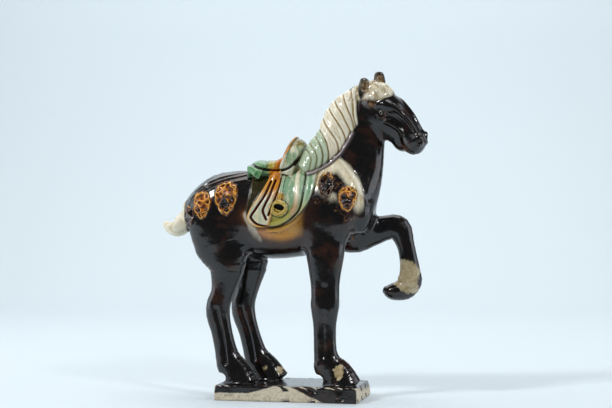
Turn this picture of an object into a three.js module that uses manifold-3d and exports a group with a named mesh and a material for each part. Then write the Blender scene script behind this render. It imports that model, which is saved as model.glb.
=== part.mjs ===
// A lead-glazed pottery horse in the manner of a Tang tomb figure: saddled, its left foreleg raised, on a flat plinth.
// It was pressed from moulds, luted together while soft and fired once, so horse, harness and plinth are one solid.
// Millimetres, +Z up, +X where the horse walks, +Y its left side, origin at the middle of the plinth's underside.
import * as THREE from "three";
import { mergeVertices } from "three/addons/utils/BufferGeometryUtils.js";
import Module from "manifold-3d";

// Driving sizes.
const FIGURE_HEIGHT = 286; // top of the plinth to the tip of the higher ear
const PLINTH_LENGTH = 132;
const PLINTH_WIDTH = 72;
const PLINTH_THICKNESS = 14;
const PLINTH_BEVEL = 1.5;
const HOOF_SINK = 4; // how far the hooves reach into the plinth
const STRAP_WIDTH = 3.6;
const STRAP_PROUD = 1.5; // how far a strap stands above the hide
const BLANKET_PROUD = 1.6; // the same for the saddle blanket,
const FLAP_PROUD = 3.2; // for the cloth that hangs from the saddle,
const PANEL_PROUD = 4.2; // for the raised panel at its front,
const PLEAT_PROUD = 2.2; // for a pleat above the cloth
const PENDANT_PROUD = 4.4; // and for a pendant at its middle
const MANE_LOCKS = 9; // on each side of the crest
const LOCK_DEPTH = 2.4; // from the top of a lock to the groove beside it

// The figure's stations are drawn for a height of 286 and keep their proportions at any other.
const DRAWN_HEIGHT = 286;
const SCALE = FIGURE_HEIGHT / DRAWN_HEIGHT;

// Pose of the head: it points down, turns to the horse's right and leans over to that side.
const HEAD_AT = [66, 0, 251];
const HEAD_DOWN = THREE.MathUtils.degToRad(42);
const HEAD_TURN = THREE.MathUtils.degToRad(8);
const HEAD_LEAN = THREE.MathUtils.degToRad(20);

const MIDDLE = 0;
const RIGHT = -1;
const LEFT = 1;
const HAUNCH_OUT = 18; // from the middle plane to the middle of each standing leg
const FORE_OUT = 18;
const HIND_STEP = 19; // how far the left hind hoof stands ahead of the right one
const HIND_STEP_FADE = 0.065; // the step shrinks by this share of the height above the plinth

const wasm = await Module();
wasm.setup();

// A station is [x, y, z, wide, up, down]: a point of the spine and the half sizes of the section there.
// Uniform Catmull-Rom through a list of number rows, t from 0 at the first row to 1 at the last.
function along(rows, t) {
  const place = Math.min(Math.max(t, 0), 1) * (rows.length - 1);
  const i = Math.min(Math.floor(place), rows.length - 2);
  const f = place - i;
  const [a, b, c, d] = [i - 1, i, i + 1, i + 2].map((k) => rows[Math.min(Math.max(k, 0), rows.length - 1)]);
  return b.map((_, k) => {
    const slope0 = (c[k] - a[k]) / 2;
    const slope1 = (d[k] - b[k]) / 2;
    const rise = c[k] - b[k];
    return b[k] + f * (slope0 + f * (3 * rise - 2 * slope0 - slope1 + f * (slope0 + slope1 - 2 * rise)));
  });
}

// Distance from the spine to the skin at an angle of the section; 90 degrees is the back or the outer bend.
function reach(angle, wide, up, down, square) {
  const c = Math.abs(Math.cos(angle)) / wide;
  const s = Math.abs(Math.sin(angle)) / (Math.sin(angle) > 0 ? up : down);
  return (c ** square + s ** square) ** (-1 / square);
}

// The frame of a spine at t: its point, its direction, the side axis and the up axis.
function frameAt(rows, t, side) {
  const step = 0.01;
  const point = new THREE.Vector3(...along(rows, t));
  const ahead = new THREE.Vector3(...along(rows, t + step)).sub(new THREE.Vector3(...along(rows, t - step)));
  const forward = ahead.normalize();
  const across = side.clone().addScaledVector(forward, -side.dot(forward)).normalize();
  const up = new THREE.Vector3().crossVectors(forward, across);
  return { point, forward, across, up };
}

// A closed skin over rings of equal length, drawn together to a point at each end.
function skin(rings, start, end) {
  const sides = rings[0].length;
  const points = [...rings.flat(), start, end];
  const index = [];
  for (let r = 0; r + 1 < rings.length; r++)
    for (let k = 0; k < sides; k++) {
      const [a, b] = [r * sides + k, r * sides + ((k + 1) % sides)];
      index.push(a, b, b + sides, a, b + sides, a + sides);
    }
  const last = (rings.length - 1) * sides;
  for (let k = 0; k < sides; k++) {
    const next = (k + 1) % sides;
    index.push(points.length - 2, next, k);
    index.push(points.length - 1, last + k, last + next);
  }
  const geometry = new THREE.BufferGeometry().setFromPoints(points);
  geometry.setIndex(index);
  return geometry;
}

// A limb: elliptical rings along its stations, with a dome over each end. Where it is given, slide(t, angle) moves a
// ring's point along the spine and proud(t, angle) lifts it off the ellipse.
function limb(stations, settings) {
  const { rings, sides, square = 2, dome = 0.35, slide = (t) => t, proud = () => 0 } = settings;
  const side = settings.side ?? new THREE.Vector3(0, 1, 0);
  const made = [];
  for (let r = 0; r < rings; r++) {
    const ring = [];
    for (let k = 0; k < sides; k++) {
      const angle = (2 * Math.PI * k) / sides;
      const t = slide(r / (rings - 1), angle);
      const [, , , wide, up, down] = along(stations, t);
      const f = frameAt(stations, t, side);
      const far = reach(angle, wide, up, down, square) + proud(r / (rings - 1), angle);
      const out = f.across.multiplyScalar(far * Math.cos(angle)).addScaledVector(f.up, far * Math.sin(angle));
      ring.push(f.point.add(out));
    }
    made.push(ring);
  }
  const tip = (t, way) => {
    const [, , , wide, up, down] = along(stations, t);
    const f = frameAt(stations, t, side);
    return f.point.addScaledVector(f.forward, way * dome * Math.min(wide, (up + down) / 2));
  };
  return solid(skin(made, tip(0, -1), tip(1, 1)));
}

// A manifold-3d solid of a closed geometry, whichever way its faces wind.
function solid(geometry) {
  const bare = geometry.clone();
  bare.deleteAttribute("normal");
  bare.deleteAttribute("uv");
  const merged = mergeVertices(bare, 1e-4);
  const triVerts = new Uint32Array(merged.index.array);
  const a = new THREE.Vector3();
  const b = new THREE.Vector3();
  const c = new THREE.Vector3();
  let volume = 0;
  for (let i = 0; i < triVerts.length; i += 3) {
    a.fromBufferAttribute(merged.attributes.position, triVerts[i]);
    b.fromBufferAttribute(merged.attributes.position, triVerts[i + 1]);
    c.fromBufferAttribute(merged.attributes.position, triVerts[i + 2]);
    volume += a.dot(b.cross(c));
  }
  if (volume < 0)
    for (let i = 0; i < triVerts.length; i += 3)
      [triVerts[i + 1], triVerts[i + 2]] = [triVerts[i + 2], triVerts[i + 1]];
  const vertProperties = new Float32Array(merged.attributes.position.array);
  return new wasm.Manifold(new wasm.Mesh({ numProp: 3, vertProperties, triVerts }));
}

function join(solids) {
  return solids.reduce((whole, piece) => whole.add(piece));
}

// Each station row is x, z, wide, up, down for a limb in a plane at y, or in the plane that y(z) gives.
function inPlane(rows, y) {
  return rows.map(([x, z, wide, up, down]) => [x, typeof y === "function" ? y(z) : y, z, wide, up, down]);
}

const TORSO_SQUARE = 2.15;
const TORSO_ROWS = [
  [-101, 158, 11, 10, 12],
  [-94, 158, 20, 18.5, 20],
  [-84, 158, 27, 27, 26],
  [-70, 158, 31.5, 34.5, 30],
  [-54, 157, 32.5, 37.5, 34],
  [-36, 156, 31.5, 38, 40],
  [-16, 155, 31, 37, 41.5],
  [4, 156, 30.5, 38, 40.5],
  [24, 159, 30, 38, 38.5],
  [42, 162, 28, 35, 33],
  [56, 163, 24.5, 28, 29],
  [66, 162, 17, 18, 20],
];
const TORSO = inPlane(TORSO_ROWS, MIDDLE);

const NECK_ROWS = [
  [38, 160, 25, 26, 33],
  [47, 180, 22, 31, 33],
  [53, 200, 18.5, 31, 31],
  [58, 220, 15.5, 28, 27],
  [61, 240, 13, 25, 23],
  [63, 256, 11.5, 19, 16],
  [66, 267, 9, 11, 10],
];
const NECK = inPlane(NECK_ROWS, MIDDLE);

// In the head's own frame: along it, out of its side, and up through its forehead.
const HEAD_SQUARE = 2.4;
const HEAD_ROWS = [
  [-8, 14, 8, 11, 8],
  [0, 9, 11.5, 20, 14],
  [8, 6, 13.5, 23.5, 20],
  [16, 6, 14, 22.5, 21],
  [25, 7, 12.5, 19.8, 18],
  [34, 8.5, 10, 16.6, 15.7],
  [43, 9, 8.8, 14.5, 16],
  [51, 9, 9, 13.5, 15],
  [58, 9.5, 9.2, 9.5, 10.5],
  [63, 9.5, 7.5, 6, 7],
];
const HEAD = inPlane(HEAD_ROWS, MIDDLE);

const HIND_LEG = [
  [-66, 166, 6, 15, 15],
  [-66, 150, 16, 23, 23],
  [-65, 132, 16, 26, 26],
  [-60.5, 117, 13, 22.5, 22.5],
  [-58.5, 105, 11.5, 17, 17],
  [-60, 94, 9.5, 13.3, 13.3],
  [-62.5, 82.5, 8.3, 10.8, 10.8],
  [-66, 72, 8.3, 11, 11.2],
  [-66.5, 62, 8, 10.8, 11.2],
  [-63.5, 48, 6.8, 9.8, 9.8],
  [-60.2, 34, 6.8, 10, 10],
  [-57, 22, 7.8, 11.5, 11.8],
  [-51.5, 12, 9, 14.5, 14.5],
  [-47, 5, 11, 15.5, 15],
  [-45, 0, 12.5, 17.5, 16],
];

const FORE_LEG = [
  [38, 168, 5, 12, 12],
  [36, 151, 13.5, 18.5, 18.5],
  [33.5, 136, 13, 19, 19],
  [33.2, 120, 11.2, 18, 17.6],
  [33.3, 106, 10, 15.6, 15.4],
  [33.3, 92, 9, 13.3, 13.3],
  [33.2, 80, 9.2, 13, 12.8],
  [33.2, 71, 8.8, 13, 13.2],
  [32.8, 56, 7, 10.7, 10.7],
  [33.2, 41, 6.8, 10.2, 10.2],
  [33.8, 28, 7.2, 10.8, 10.8],
  [37, 18, 8.2, 13, 13.4],
  [43.5, 10.5, 9, 15, 15.6],
  [47.5, 5, 11, 15.5, 15],
  [49.5, 0, 12.5, 17, 16.5],
];

const RAISED_OUT = 17;
const RAISED_LEG = [
  [40, 137, 13, 19, 17],
  [56, 134, 11.5, 14, 15],
  [70, 137.5, 10, 12.2, 12.6],
  [84, 142, 9, 11.4, 11.2],
  [95, 140.5, 8.8, 12, 10.5],
  [101.5, 127, 6.8, 8.4, 8.2],
  [104.3, 114, 6.6, 8.2, 8.3],
  [105.8, 103, 7.6, 9.4, 9.4],
  [105.5, 94, 8.6, 11.4, 11.2],
  [101, 87, 9.4, 10.6, 10],
  [94, 84.3, 10.6, 9.2, 8.6],
  [87, 84.3, 10, 7.4, 6.6],
  [82, 85.6, 6, 3.6, 3],
];

const TAIL_ROWS = [
  [-96, 154, 6, 8, 8],
  [-104, 147, 7, 9.5, 9],
  [-111, 142, 6.8, 8.6, 7.6],
  [-118, 142.5, 5.4, 6, 4.6],
  [-123.5, 146.5, 2.6, 2.4, 2],
];
const TAIL = inPlane(TAIL_ROWS, MIDDLE);

// The hide at a side view's x and z: the point on that flank and the way the hide faces there.
function hide(x, z, side) {
  const t = stationOf(x);
  const [, , middle, wide, up, down] = along(TORSO, t);
  const tall = z > middle ? up : down;
  const rise = Math.min(Math.abs(z - middle) / tall, 0.995);
  const out = wide * (1 - rise ** TORSO_SQUARE) ** (1 / TORSO_SQUARE);
  const normal = new THREE.Vector3(
    0,
    (side * (out / wide) ** (TORSO_SQUARE - 1)) / wide,
    (Math.sign(z - middle) * rise ** (TORSO_SQUARE - 1)) / tall,
  ).normalize();
  return { point: new THREE.Vector3(x, side * out, z), normal };
}

// Where along the torso's spine a given x lies, by halving.
function stationOf(x) {
  let [low, high] = [0, 1];
  for (let n = 0; n < 30; n++) {
    const mid = (low + high) / 2;
    if (along(TORSO, mid)[0] < x) low = mid;
    else high = mid;
  }
  return (low + high) / 2;
}

// A band that lies on the hide along side view points [x, z, wide, proud].
function band(points, side, { rings = 12, sides = 4, lift = 0 } = {}) {
  const made = [];
  const ends = [];
  for (let r = 0; r < rings; r++) {
    const t = r / (rings - 1);
    const [x, z, wide, proud] = along(points, t);
    const [xa, za] = along(points, t + 0.02);
    const [xb, zb] = along(points, t - 0.02);
    const here = hide(x, z, side);
    const way = hide(xa, za, side).point.sub(hide(xb, zb, side).point).normalize();
    const across = new THREE.Vector3().crossVectors(here.normal, way).normalize();
    const centre = here.point.clone().addScaledVector(here.normal, lift);
    const ring = [];
    for (let k = 0; k < sides; k++) {
      const angle = (2 * Math.PI * (k + 0.5)) / sides;
      ring.push(
        centre.clone()
          .addScaledVector(across, (wide / 2) * Math.cos(angle))
          .addScaledVector(here.normal, proud * Math.sin(angle)),
      );
    }
    made.push(ring);
    if (r === 0) ends.push(centre.clone().addScaledVector(way, -wide / 4));
    if (r === rings - 1) ends.push(centre.clone().addScaledVector(way, wide / 4));
  }
  return solid(skin(made, ends[0], ends[1]));
}

// A cloth over the back: its hem hangs to hem(x) on both sides and it stands proud of the hide.
function cloth(fromX, toX, hem, proud, { rings = 8, arc = 12 } = {}) {
  const made = [];
  for (let r = 0; r < rings; r++) {
    const share = r / (rings - 1);
    const x = fromX + (toX - fromX) * share;
    const [, , middle, wide, up, down] = along(TORSO, stationOf(x));
    const drop = hem(share);
    const tall = drop > middle ? up : down;
    const edge = Math.asin(THREE.MathUtils.clamp((drop - middle) / tall, -0.98, 0.98));
    const ring = [];
    for (let k = 0; k <= arc; k++) {
      const angle = edge + ((Math.PI - 2 * edge) * k) / arc;
      const far = reach(angle, wide, up, down, TORSO_SQUARE) + proud;
      ring.push(new THREE.Vector3(x, far * Math.cos(angle), middle + far * Math.sin(angle)));
    }
    const inset = 0.6;
    for (const k of [arc, 0]) {
      const [, y, z] = ring[k].toArray();
      ring.push(new THREE.Vector3(x, y * inset, middle + (z - middle) * inset));
    }
    made.push(ring);
  }
  const cap = (ring) => ring.reduce((sum, p) => sum.add(p), new THREE.Vector3()).divideScalar(ring.length);
  return solid(skin(made, cap(made[0]), cap(made.at(-1))));
}

// The cloth hangs in three layers, each with a deep rounded hem: from, to, proud, and the hem's height along it.
const CLOTHS = [
  { from: -40, to: 29, proud: BLANKET_PROUD, hem: [[160], [144], [137.5], [136], [137.5], [145], [158], [180], [196]] },
  { from: -36, to: 26, proud: FLAP_PROUD, hem: [[160], [148], [142.5], [141.5], [143.5], [151], [165], [186], [197]] },
  { from: -2, to: 18, proud: PANEL_PROUD, hem: [[158], [150], [149.5], [153], [161], [173], [188]] },
];

function saddleCloths() {
  return join(CLOTHS.map(({ from, to, proud, hem }) => cloth(from, to, (t) => along(hem, t)[0], proud)));
}

// The saddle: a seat that dips between a low cantle and a tall pommel leaning forward.
const SADDLE_ROWS = [
  [-42, 197, 18, 5, 8],
  [-38, 197, 20, 8.5, 10],
  [-32, 197, 19, 8.5, 10],
  [-23, 197, 17, 7.5, 10],
  [-14, 197, 16, 7.5, 10],
  [-7, 198, 15, 9.5, 10],
  [2, 200, 14, 12, 12],
  [12, 199, 14, 12, 12],
  [20, 198, 12, 10, 10],
];
const SADDLE = inPlane(SADDLE_ROWS, MIDDLE);
const POMMEL = { foot: [-8, 22, 189], top: [1.5, 217], wide: 3.4, thick: 5 };

// The pommel: a thick board that arches over the withers and leans forward.
function pommel() {
  const arch = [];
  const steps = 5;
  const [x0, out, z0] = POMMEL.foot;
  const [x1, z1] = POMMEL.top;
  for (let k = -steps; k <= steps; k++) {
    const angle = (Math.PI / 2) * (k / steps);
    const rise = Math.cos(angle) ** 0.8;
    arch.push([
      x0 + (x1 - x0) * rise,
      out * Math.sin(angle),
      z0 + (z1 - z0) * rise,
      POMMEL.thick,
      POMMEL.wide,
      POMMEL.wide + 6,
    ]);
  }
  const lean = new THREE.Vector3(1, 0, -0.3);
  return limb(arch, { rings: 13, sides: 8, square: 3.5, side: lean, dome: 0.2 });
}

const PLEATS = [
  [[-20, 190], [-26, 174], [-32, 154]],
  [[-17, 190], [-20, 170], [-24, 149]],
  [[-13, 190], [-13, 172], [-15, 154]],
];
const STIRRUP = { at: [-6.2, 160.7], ring: 5.6, wire: 1.9 };

function pleats(side) {
  const narrow = 3;
  const broad = 5.4;
  return PLEATS.map((line) => {
    const points = line.map(([x, z], k) => [x, z, k ? broad : narrow, PLEAT_PROUD]);
    return band(points, side, { rings: 5, sides: 6, lift: FLAP_PROUD });
  });
}

function stirrup(side) {
  const { point, normal } = hide(...STIRRUP.at, side);
  const ring = new THREE.TorusGeometry(STIRRUP.ring, STIRRUP.wire, 6, 14);
  ring.scale(1, 0.86, 1);
  const turn = new THREE.Quaternion().setFromUnitVectors(new THREE.Vector3(0, 0, 1), normal);
  const upright = new THREE.Matrix4().makeRotationZ((side * Math.PI) / 2);
  ring.applyMatrix4(upright);
  ring.applyQuaternion(turn);
  const centre = point.clone().addScaledVector(normal, FLAP_PROUD + STIRRUP.wire / 2);
  ring.translate(...centre.toArray());
  const top = STIRRUP.at[1] + STIRRUP.ring;
  const leather = band(
    [[-3, 192, 3, 1.8], [-3.5, 180, 3, 1.8], [STIRRUP.at[0], top, 3, 1.8]],
    side,
    { rings: 4, sides: 4, lift: FLAP_PROUD },
  );
  return solid(ring).add(leather);
}

// Straps, as side view points: round the chest and over the croup to the tail.
const CHEST_STRAP = [[22, 192], [36, 190], [48, 183], [58, 172], [66, 161]];
const CROUP_STRAP = [[-38, 186], [-52, 184], [-68, 179], [-82, 172], [-94, 164]];

function straps(side) {
  const sized = (line) => line.map(([x, z]) => [x, z, STRAP_WIDTH, STRAP_PROUD]);
  return [CHEST_STRAP, CROUP_STRAP].map((line) => band(sized(line), side, { rings: 6 }));
}

// Leaf pendants that hang below the straps: [x, z, half width, half height].
const PENDANTS = [
  [36.2, 179, 7.5, 12],
  [55.6, 166, 8, 11.5],
  [-55.6, 169.2, 10.2, 15.2],
  [-78.2, 163, 9, 13],
  [-93, 152, 7.4, 11],
];

function pendant([x, z, wide, tall], side) {
  const leaf = new THREE.SphereGeometry(1, 11, 4);
  const points = leaf.attributes.position;
  for (let i = 0; i < points.count; i++) {
    const [a, out, b] = [points.getX(i), points.getY(i), points.getZ(i)];
    const taper = 1 + 0.25 * b;
    points.setXYZ(i, a * wide * taper, b * tall, out * PENDANT_PROUD);
  }
  const { point, normal } = hide(x, z, side);
  const length = new THREE.Vector3(1, 0, 0);
  const up = new THREE.Vector3().crossVectors(normal, length).multiplyScalar(-side);
  leaf.applyMatrix4(new THREE.Matrix4().makeBasis(length, up, normal).setPosition(point));
  return solid(leaf);
}

// The mane: a thick fall from the crest to its hem, with locks that stand proud of it on both sides.
const CREST = [[64, 274], [48, 267], [36, 252], [27, 234], [17, 221], [6, 202]];
const HEM = [[67, 258], [65, 236], [56, 222], [47, 211], [36, 202], [26, 191]];
const MANE_OUT = [11, 13.5, 16, 18.5, 21.5, 24];
const LOCK_SLANT = 1.3; // how many locks a groove falls back by on its way from the crest to the hem

function mane() {
  const rows = CREST.map(([x, z], i) => {
    const [hx, hz] = HEM[i];
    const half = Math.hypot(hx - x, hz - z) / 2;
    return [(x + hx) / 2, 0, (z + hz) / 2, MANE_OUT[i], half, half];
  });
  const fallBack = LOCK_SLANT / (MANE_LOCKS + LOCK_SLANT);
  const slide = (t, angle) => {
    const down = 0.5 + 0.5 * Math.sin(angle);
    const wave = 0.14 * Math.sin(2 * Math.PI * down);
    return t * (1 - fallBack) + fallBack * (down - wave * Math.sin(Math.PI * t));
  };
  const proud = (t) => LOCK_DEPTH * Math.abs(Math.cos(Math.PI * t * MANE_LOCKS));
  return limb(rows, { rings: 2 * MANE_LOCKS + 1, sides: 14, square: 2.2, slide, proud });
}

// Ears, forelock, eyes, nostrils and mouth, in the head's own frame.
const EAR = { root: [0, 8.5, 20], tip: [-9, 12.5, 33.5], wide: 6, thick: 3.2 };
const EYE = { at: [19.4, 12.2, 14.6], radius: 3.2 };
const BROW = [[10, 12, 16], [17, 12.5, 20], [25, 9.5, 23.5], [37, 6.5, 22.5], [50, 4.5, 21.5]];
const NOSTRIL = { at: [54, 10, 15.5], long: 6.5, tall: 3, deep: 3.4 };
const MOUTH = { at: [61, 0, -0.6], long: 13, gap: 1.1, wide: 12 };
const FORELOCK = [[-9, 20], [-2, 26], [6, 28], [13, 26]];
const CHEEK = { at: [11, 9, 2], sizes: [13, 5.5, 14] };
const HOLLOW = { at: [37, 12, 12.5], sizes: [13, 4.2, 5] };

function ear(side) {
  const leaf = [];
  const steps = 4;
  for (let k = 0; k <= steps; k++) {
    const q = k / steps;
    const full = Math.sin(Math.PI * (0.28 + 0.58 * q));
    leaf.push([
      EAR.root[0] + (EAR.tip[0] - EAR.root[0]) * q,
      side * (EAR.root[1] + (EAR.tip[1] - EAR.root[1]) * q),
      EAR.root[2] + (EAR.tip[2] - EAR.root[2]) * q,
      EAR.wide * full,
      EAR.thick * full,
      EAR.thick * full,
    ]);
  }
  return limb(leaf, { rings: 6, sides: 7, side: new THREE.Vector3(0.8, side * 0.6, 0), dome: 0.6 });
}

function ball(at, sizes, across = 8, down = 5) {
  const round = new THREE.SphereGeometry(1, across, down);
  round.scale(...sizes);
  round.translate(...at);
  return solid(round);
}

function headWhole() {
  const skull = limb(HEAD, { rings: 14, sides: 16, square: HEAD_SQUARE });
  const parts = [skull];
  const cuts = [];
  for (const side of [RIGHT, LEFT]) {
    const mirrored = ([x, y, z]) => [x, side * y, z];
    parts.push(ear(side));
    parts.push(ball(mirrored(EYE.at), [EYE.radius, EYE.radius * 0.7, EYE.radius * 0.8]));
    const ridge = BROW.map((p) => [...mirrored(p), 2.4, 2.4, 2.4]);
    parts.push(ball(mirrored(CHEEK.at), CHEEK.sizes));
    cuts.push(ball(mirrored(HOLLOW.at), HOLLOW.sizes, 10, 6));
    parts.push(limb(ridge, { rings: 8, sides: 6, side: new THREE.Vector3(0, 1, 0) }));
    cuts.push(ball(mirrored(NOSTRIL.at), [NOSTRIL.long, NOSTRIL.deep, NOSTRIL.tall]));
  }
  const lock = FORELOCK.map(([x, z]) => [x, 0, z, 8.5, 2.8, 5]);
  parts.push(limb(lock, { rings: 6, sides: 10, square: 2.5 }));
  const slit = new THREE.BoxGeometry(MOUTH.long, 2 * MOUTH.wide, MOUTH.gap);
  slit.translate(...MOUTH.at);
  cuts.push(solid(slit));
  return cuts.reduce((whole, cut) => whole.subtract(cut), join(parts));
}

// Turns a solid in the head's frame to its place on the neck.
function headInPlace() {
  const lean = new THREE.Matrix4().makeRotationX(HEAD_LEAN);
  const down = new THREE.Matrix4().makeRotationY(HEAD_DOWN);
  const turn = new THREE.Matrix4().makeRotationZ(-HEAD_TURN);
  const place = new THREE.Matrix4().makeTranslation(...HEAD_AT);
  return headWhole().transform(place.multiply(turn).multiply(down).multiply(lean).elements);
}

// The foot of a standing leg keeps the leg's plane; higher up the leg leans in to the body.
const leanIn = (out, side) => (z) => side * (out - 4 * THREE.MathUtils.smoothstep(z, 118, 150));

function legs() {
  const made = [];
  const settings = { rings: 16, sides: 10 };
  for (const side of [RIGHT, LEFT]) {
    const step = side === LEFT ? HIND_STEP : 0;
    const stepped = HIND_LEG.map(([x, z, ...sizes]) => [
      x + (step ? step - HIND_STEP_FADE * z : 0),
      z,
      ...sizes,
    ]);
    made.push(limb(inPlane(stepped, leanIn(HAUNCH_OUT, side)), settings));
  }
  made.push(limb(inPlane(FORE_LEG, leanIn(FORE_OUT, RIGHT)), settings));
  made.push(limb(inPlane(RAISED_LEG, RAISED_OUT), settings));
  return join(made);
}

function figure() {
  const pieces = [
    limb(TORSO, { rings: 17, sides: 20, square: TORSO_SQUARE, dome: 0.3 }),
    limb(NECK, { rings: 8, sides: 13 }),
    limb(TAIL, { rings: 8, sides: 8 }),
    limb(SADDLE, { rings: 9, sides: 14, square: 2.6, dome: 0.1 }),
    headInPlace(),
    legs(),
    saddleCloths(),
    pommel(),
    mane(),
  ];
  for (const side of [RIGHT, LEFT]) {
    pieces.push(...straps(side), ...pleats(side), stirrup(side));
    pieces.push(...PENDANTS.map((row) => pendant(row, side)));
  }
  const place = new THREE.Matrix4().makeTranslation(0, 0, PLINTH_THICKNESS);
  return join(pieces).transform(place.scale(new THREE.Vector3(SCALE, SCALE, SCALE)).elements);
}

function plinth() {
  const [x, y] = [PLINTH_LENGTH / 2 - PLINTH_BEVEL, PLINTH_WIDTH / 2 - PLINTH_BEVEL];
  const outline = new THREE.Shape([
    new THREE.Vector2(-x, -y),
    new THREE.Vector2(x, -y),
    new THREE.Vector2(x, y),
    new THREE.Vector2(-x, y),
  ]);
  const slab = new THREE.ExtrudeGeometry(outline, {
    depth: PLINTH_THICKNESS - 2 * PLINTH_BEVEL,
    bevelThickness: PLINTH_BEVEL,
    bevelSize: PLINTH_BEVEL,
    bevelSegments: 2,
  });
  slab.translate(0, 0, PLINTH_BEVEL);
  return solid(slab);
}

// What reaches below the sink depth of the hooves is cut away, so that the underside stays the plinth's own.
function belowHooves() {
  const deep = PLINTH_THICKNESS - HOOF_SINK;
  const block = new THREE.BoxGeometry(2 * FIGURE_HEIGHT, 2 * FIGURE_HEIGHT, 2 * deep);
  return solid(block);
}

// Slivers of air shut in where the mane lies on the neck are filled: only the outer skin is kept.
const whole = figure().subtract(belowHooves()).add(plinth());
const outer = whole.decompose().reduce((a, b) => (a.volume() > b.volume() ? a : b));

const made = outer.getMesh();
const shown = new THREE.BufferGeometry();
shown.setAttribute("position", new THREE.BufferAttribute(new Float32Array(made.vertProperties), 3));
shown.setIndex(new THREE.BufferAttribute(new Uint32Array(made.triVerts), 1));
shown.computeVertexNormals();

const glaze = new THREE.MeshStandardMaterial({ color: 0x1d1512, roughness: 0.12, metalness: 0 });
const horse = new THREE.Mesh(shown, glaze);
horse.name = "tomb_horse";

const group = new THREE.Group();
group.add(horse);
export default group;
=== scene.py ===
"""A lead-glazed pottery tomb horse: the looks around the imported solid.

The horse is one fired piece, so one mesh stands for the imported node. Its clay forms are drawn as rounded
sections along curved spines, softly joined as wet clay and thick glaze join them, and the surface is taken
from their field of distances. Drawn sizes are in millimetres above the plinth's top, +X where the horse
walks, +Y its left side.
"""
import math

import bpy
import numpy as np
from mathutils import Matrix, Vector


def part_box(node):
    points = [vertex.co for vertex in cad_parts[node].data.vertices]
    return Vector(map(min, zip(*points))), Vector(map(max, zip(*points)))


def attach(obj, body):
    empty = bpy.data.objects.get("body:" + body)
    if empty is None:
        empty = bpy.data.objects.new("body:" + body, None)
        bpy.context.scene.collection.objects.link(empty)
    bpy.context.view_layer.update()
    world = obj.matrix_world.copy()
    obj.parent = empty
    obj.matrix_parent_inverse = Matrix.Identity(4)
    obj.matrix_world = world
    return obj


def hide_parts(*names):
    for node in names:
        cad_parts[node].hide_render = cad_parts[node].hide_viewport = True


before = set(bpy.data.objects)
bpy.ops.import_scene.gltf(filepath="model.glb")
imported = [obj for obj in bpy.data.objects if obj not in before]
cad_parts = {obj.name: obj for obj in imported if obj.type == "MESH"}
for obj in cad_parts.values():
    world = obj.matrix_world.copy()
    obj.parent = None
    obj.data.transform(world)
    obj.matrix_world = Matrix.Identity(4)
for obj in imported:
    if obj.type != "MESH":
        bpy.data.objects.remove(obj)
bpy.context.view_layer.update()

NODE = "tomb_horse"

# The figure is drawn 247.4 mm long, from the tail's tip to the raised knee, and follows the frame's length.
DRAWN_LENGTH = 247.4
LOW, HIGH = (np.array(corner, float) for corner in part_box(NODE))
UNIT = (HIGH[0] - LOW[0]) / DRAWN_LENGTH
PLINTH_LENGTH, PLINTH_WIDTH, PLINTH_THICKNESS = 132.0, 72.0, 14.0
PLINTH_ROUND = 1.6
PLINTH_UNEVEN = 0.6
PLINTH_CHIPS = 1.5

FINE_STEP = 0.62
STEP = FINE_STEP
BLOCK = 8
BLOCKS_AT_ONCE = 1600
FIELD_SLACK = 4.5  # how far the soft joins and the relief may move the surface
MOST_TRIANGLES = 196000
MOST_PULL = 0.35
NEAR_REACH, FAR_REACH = 0.45, 1.7
RIDGE_GAIN = 10
GRID_LOW = np.array([-127.0, -40.0, -PLINTH_THICKNESS - 2])
GRID_HIGH = np.array([125.0, 40.0, 289.0])

RIGHT, LEFT = -1, 1
LEG_OUT = 18.0
RAISED_OUT = 17.0
LEG_BLEND = 8
HIND_STEP, HIND_STEP_FADE = 19.0, 0.065

HEAD_AT = np.array([66.0, 0.0, 251.0])
HEAD_DOWN, HEAD_TURN, HEAD_LEAN = (math.radians(a) for a in (42, 8, 20))


# Curves and soft joins

def along(rows, t):
    """Uniform Catmull-Rom through the rows, t from 0 at the first to 1 at the last."""
    rows = np.asarray(rows, float)
    place = np.clip(t, 0, 1) * (len(rows) - 1)
    i = np.minimum(place.astype(int), len(rows) - 2)
    f = (place - i)[:, None]
    a, b, c, d = (rows[np.clip(i + k, 0, len(rows) - 1)] for k in (-1, 0, 1, 2))
    slope0, slope1, rise = (c - a) / 2, (d - b) / 2, c - b
    return b + f * (slope0 + f * (3 * rise - 2 * slope0 - slope1 + f * (slope0 + slope1 - 2 * rise)))


def smoothstep(low, high, value):
    f = np.clip((value - low) / (high - low), 0, 1)
    return f * f * (3 - 2 * f)


def soft_min(a, b, blend):
    """The nearer of two distances, rounded over where they differ by less than blend."""
    if blend <= 0:
        return np.minimum(a, b)
    near = np.maximum(blend - np.abs(a - b), 0) / blend
    return np.minimum(a, b) - near * near * blend / 4


def soft_max(a, b, blend):
    return -soft_min(-a, -b, blend)


def bell(value, width):
    return np.exp(-((value / width) ** 2))


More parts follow.
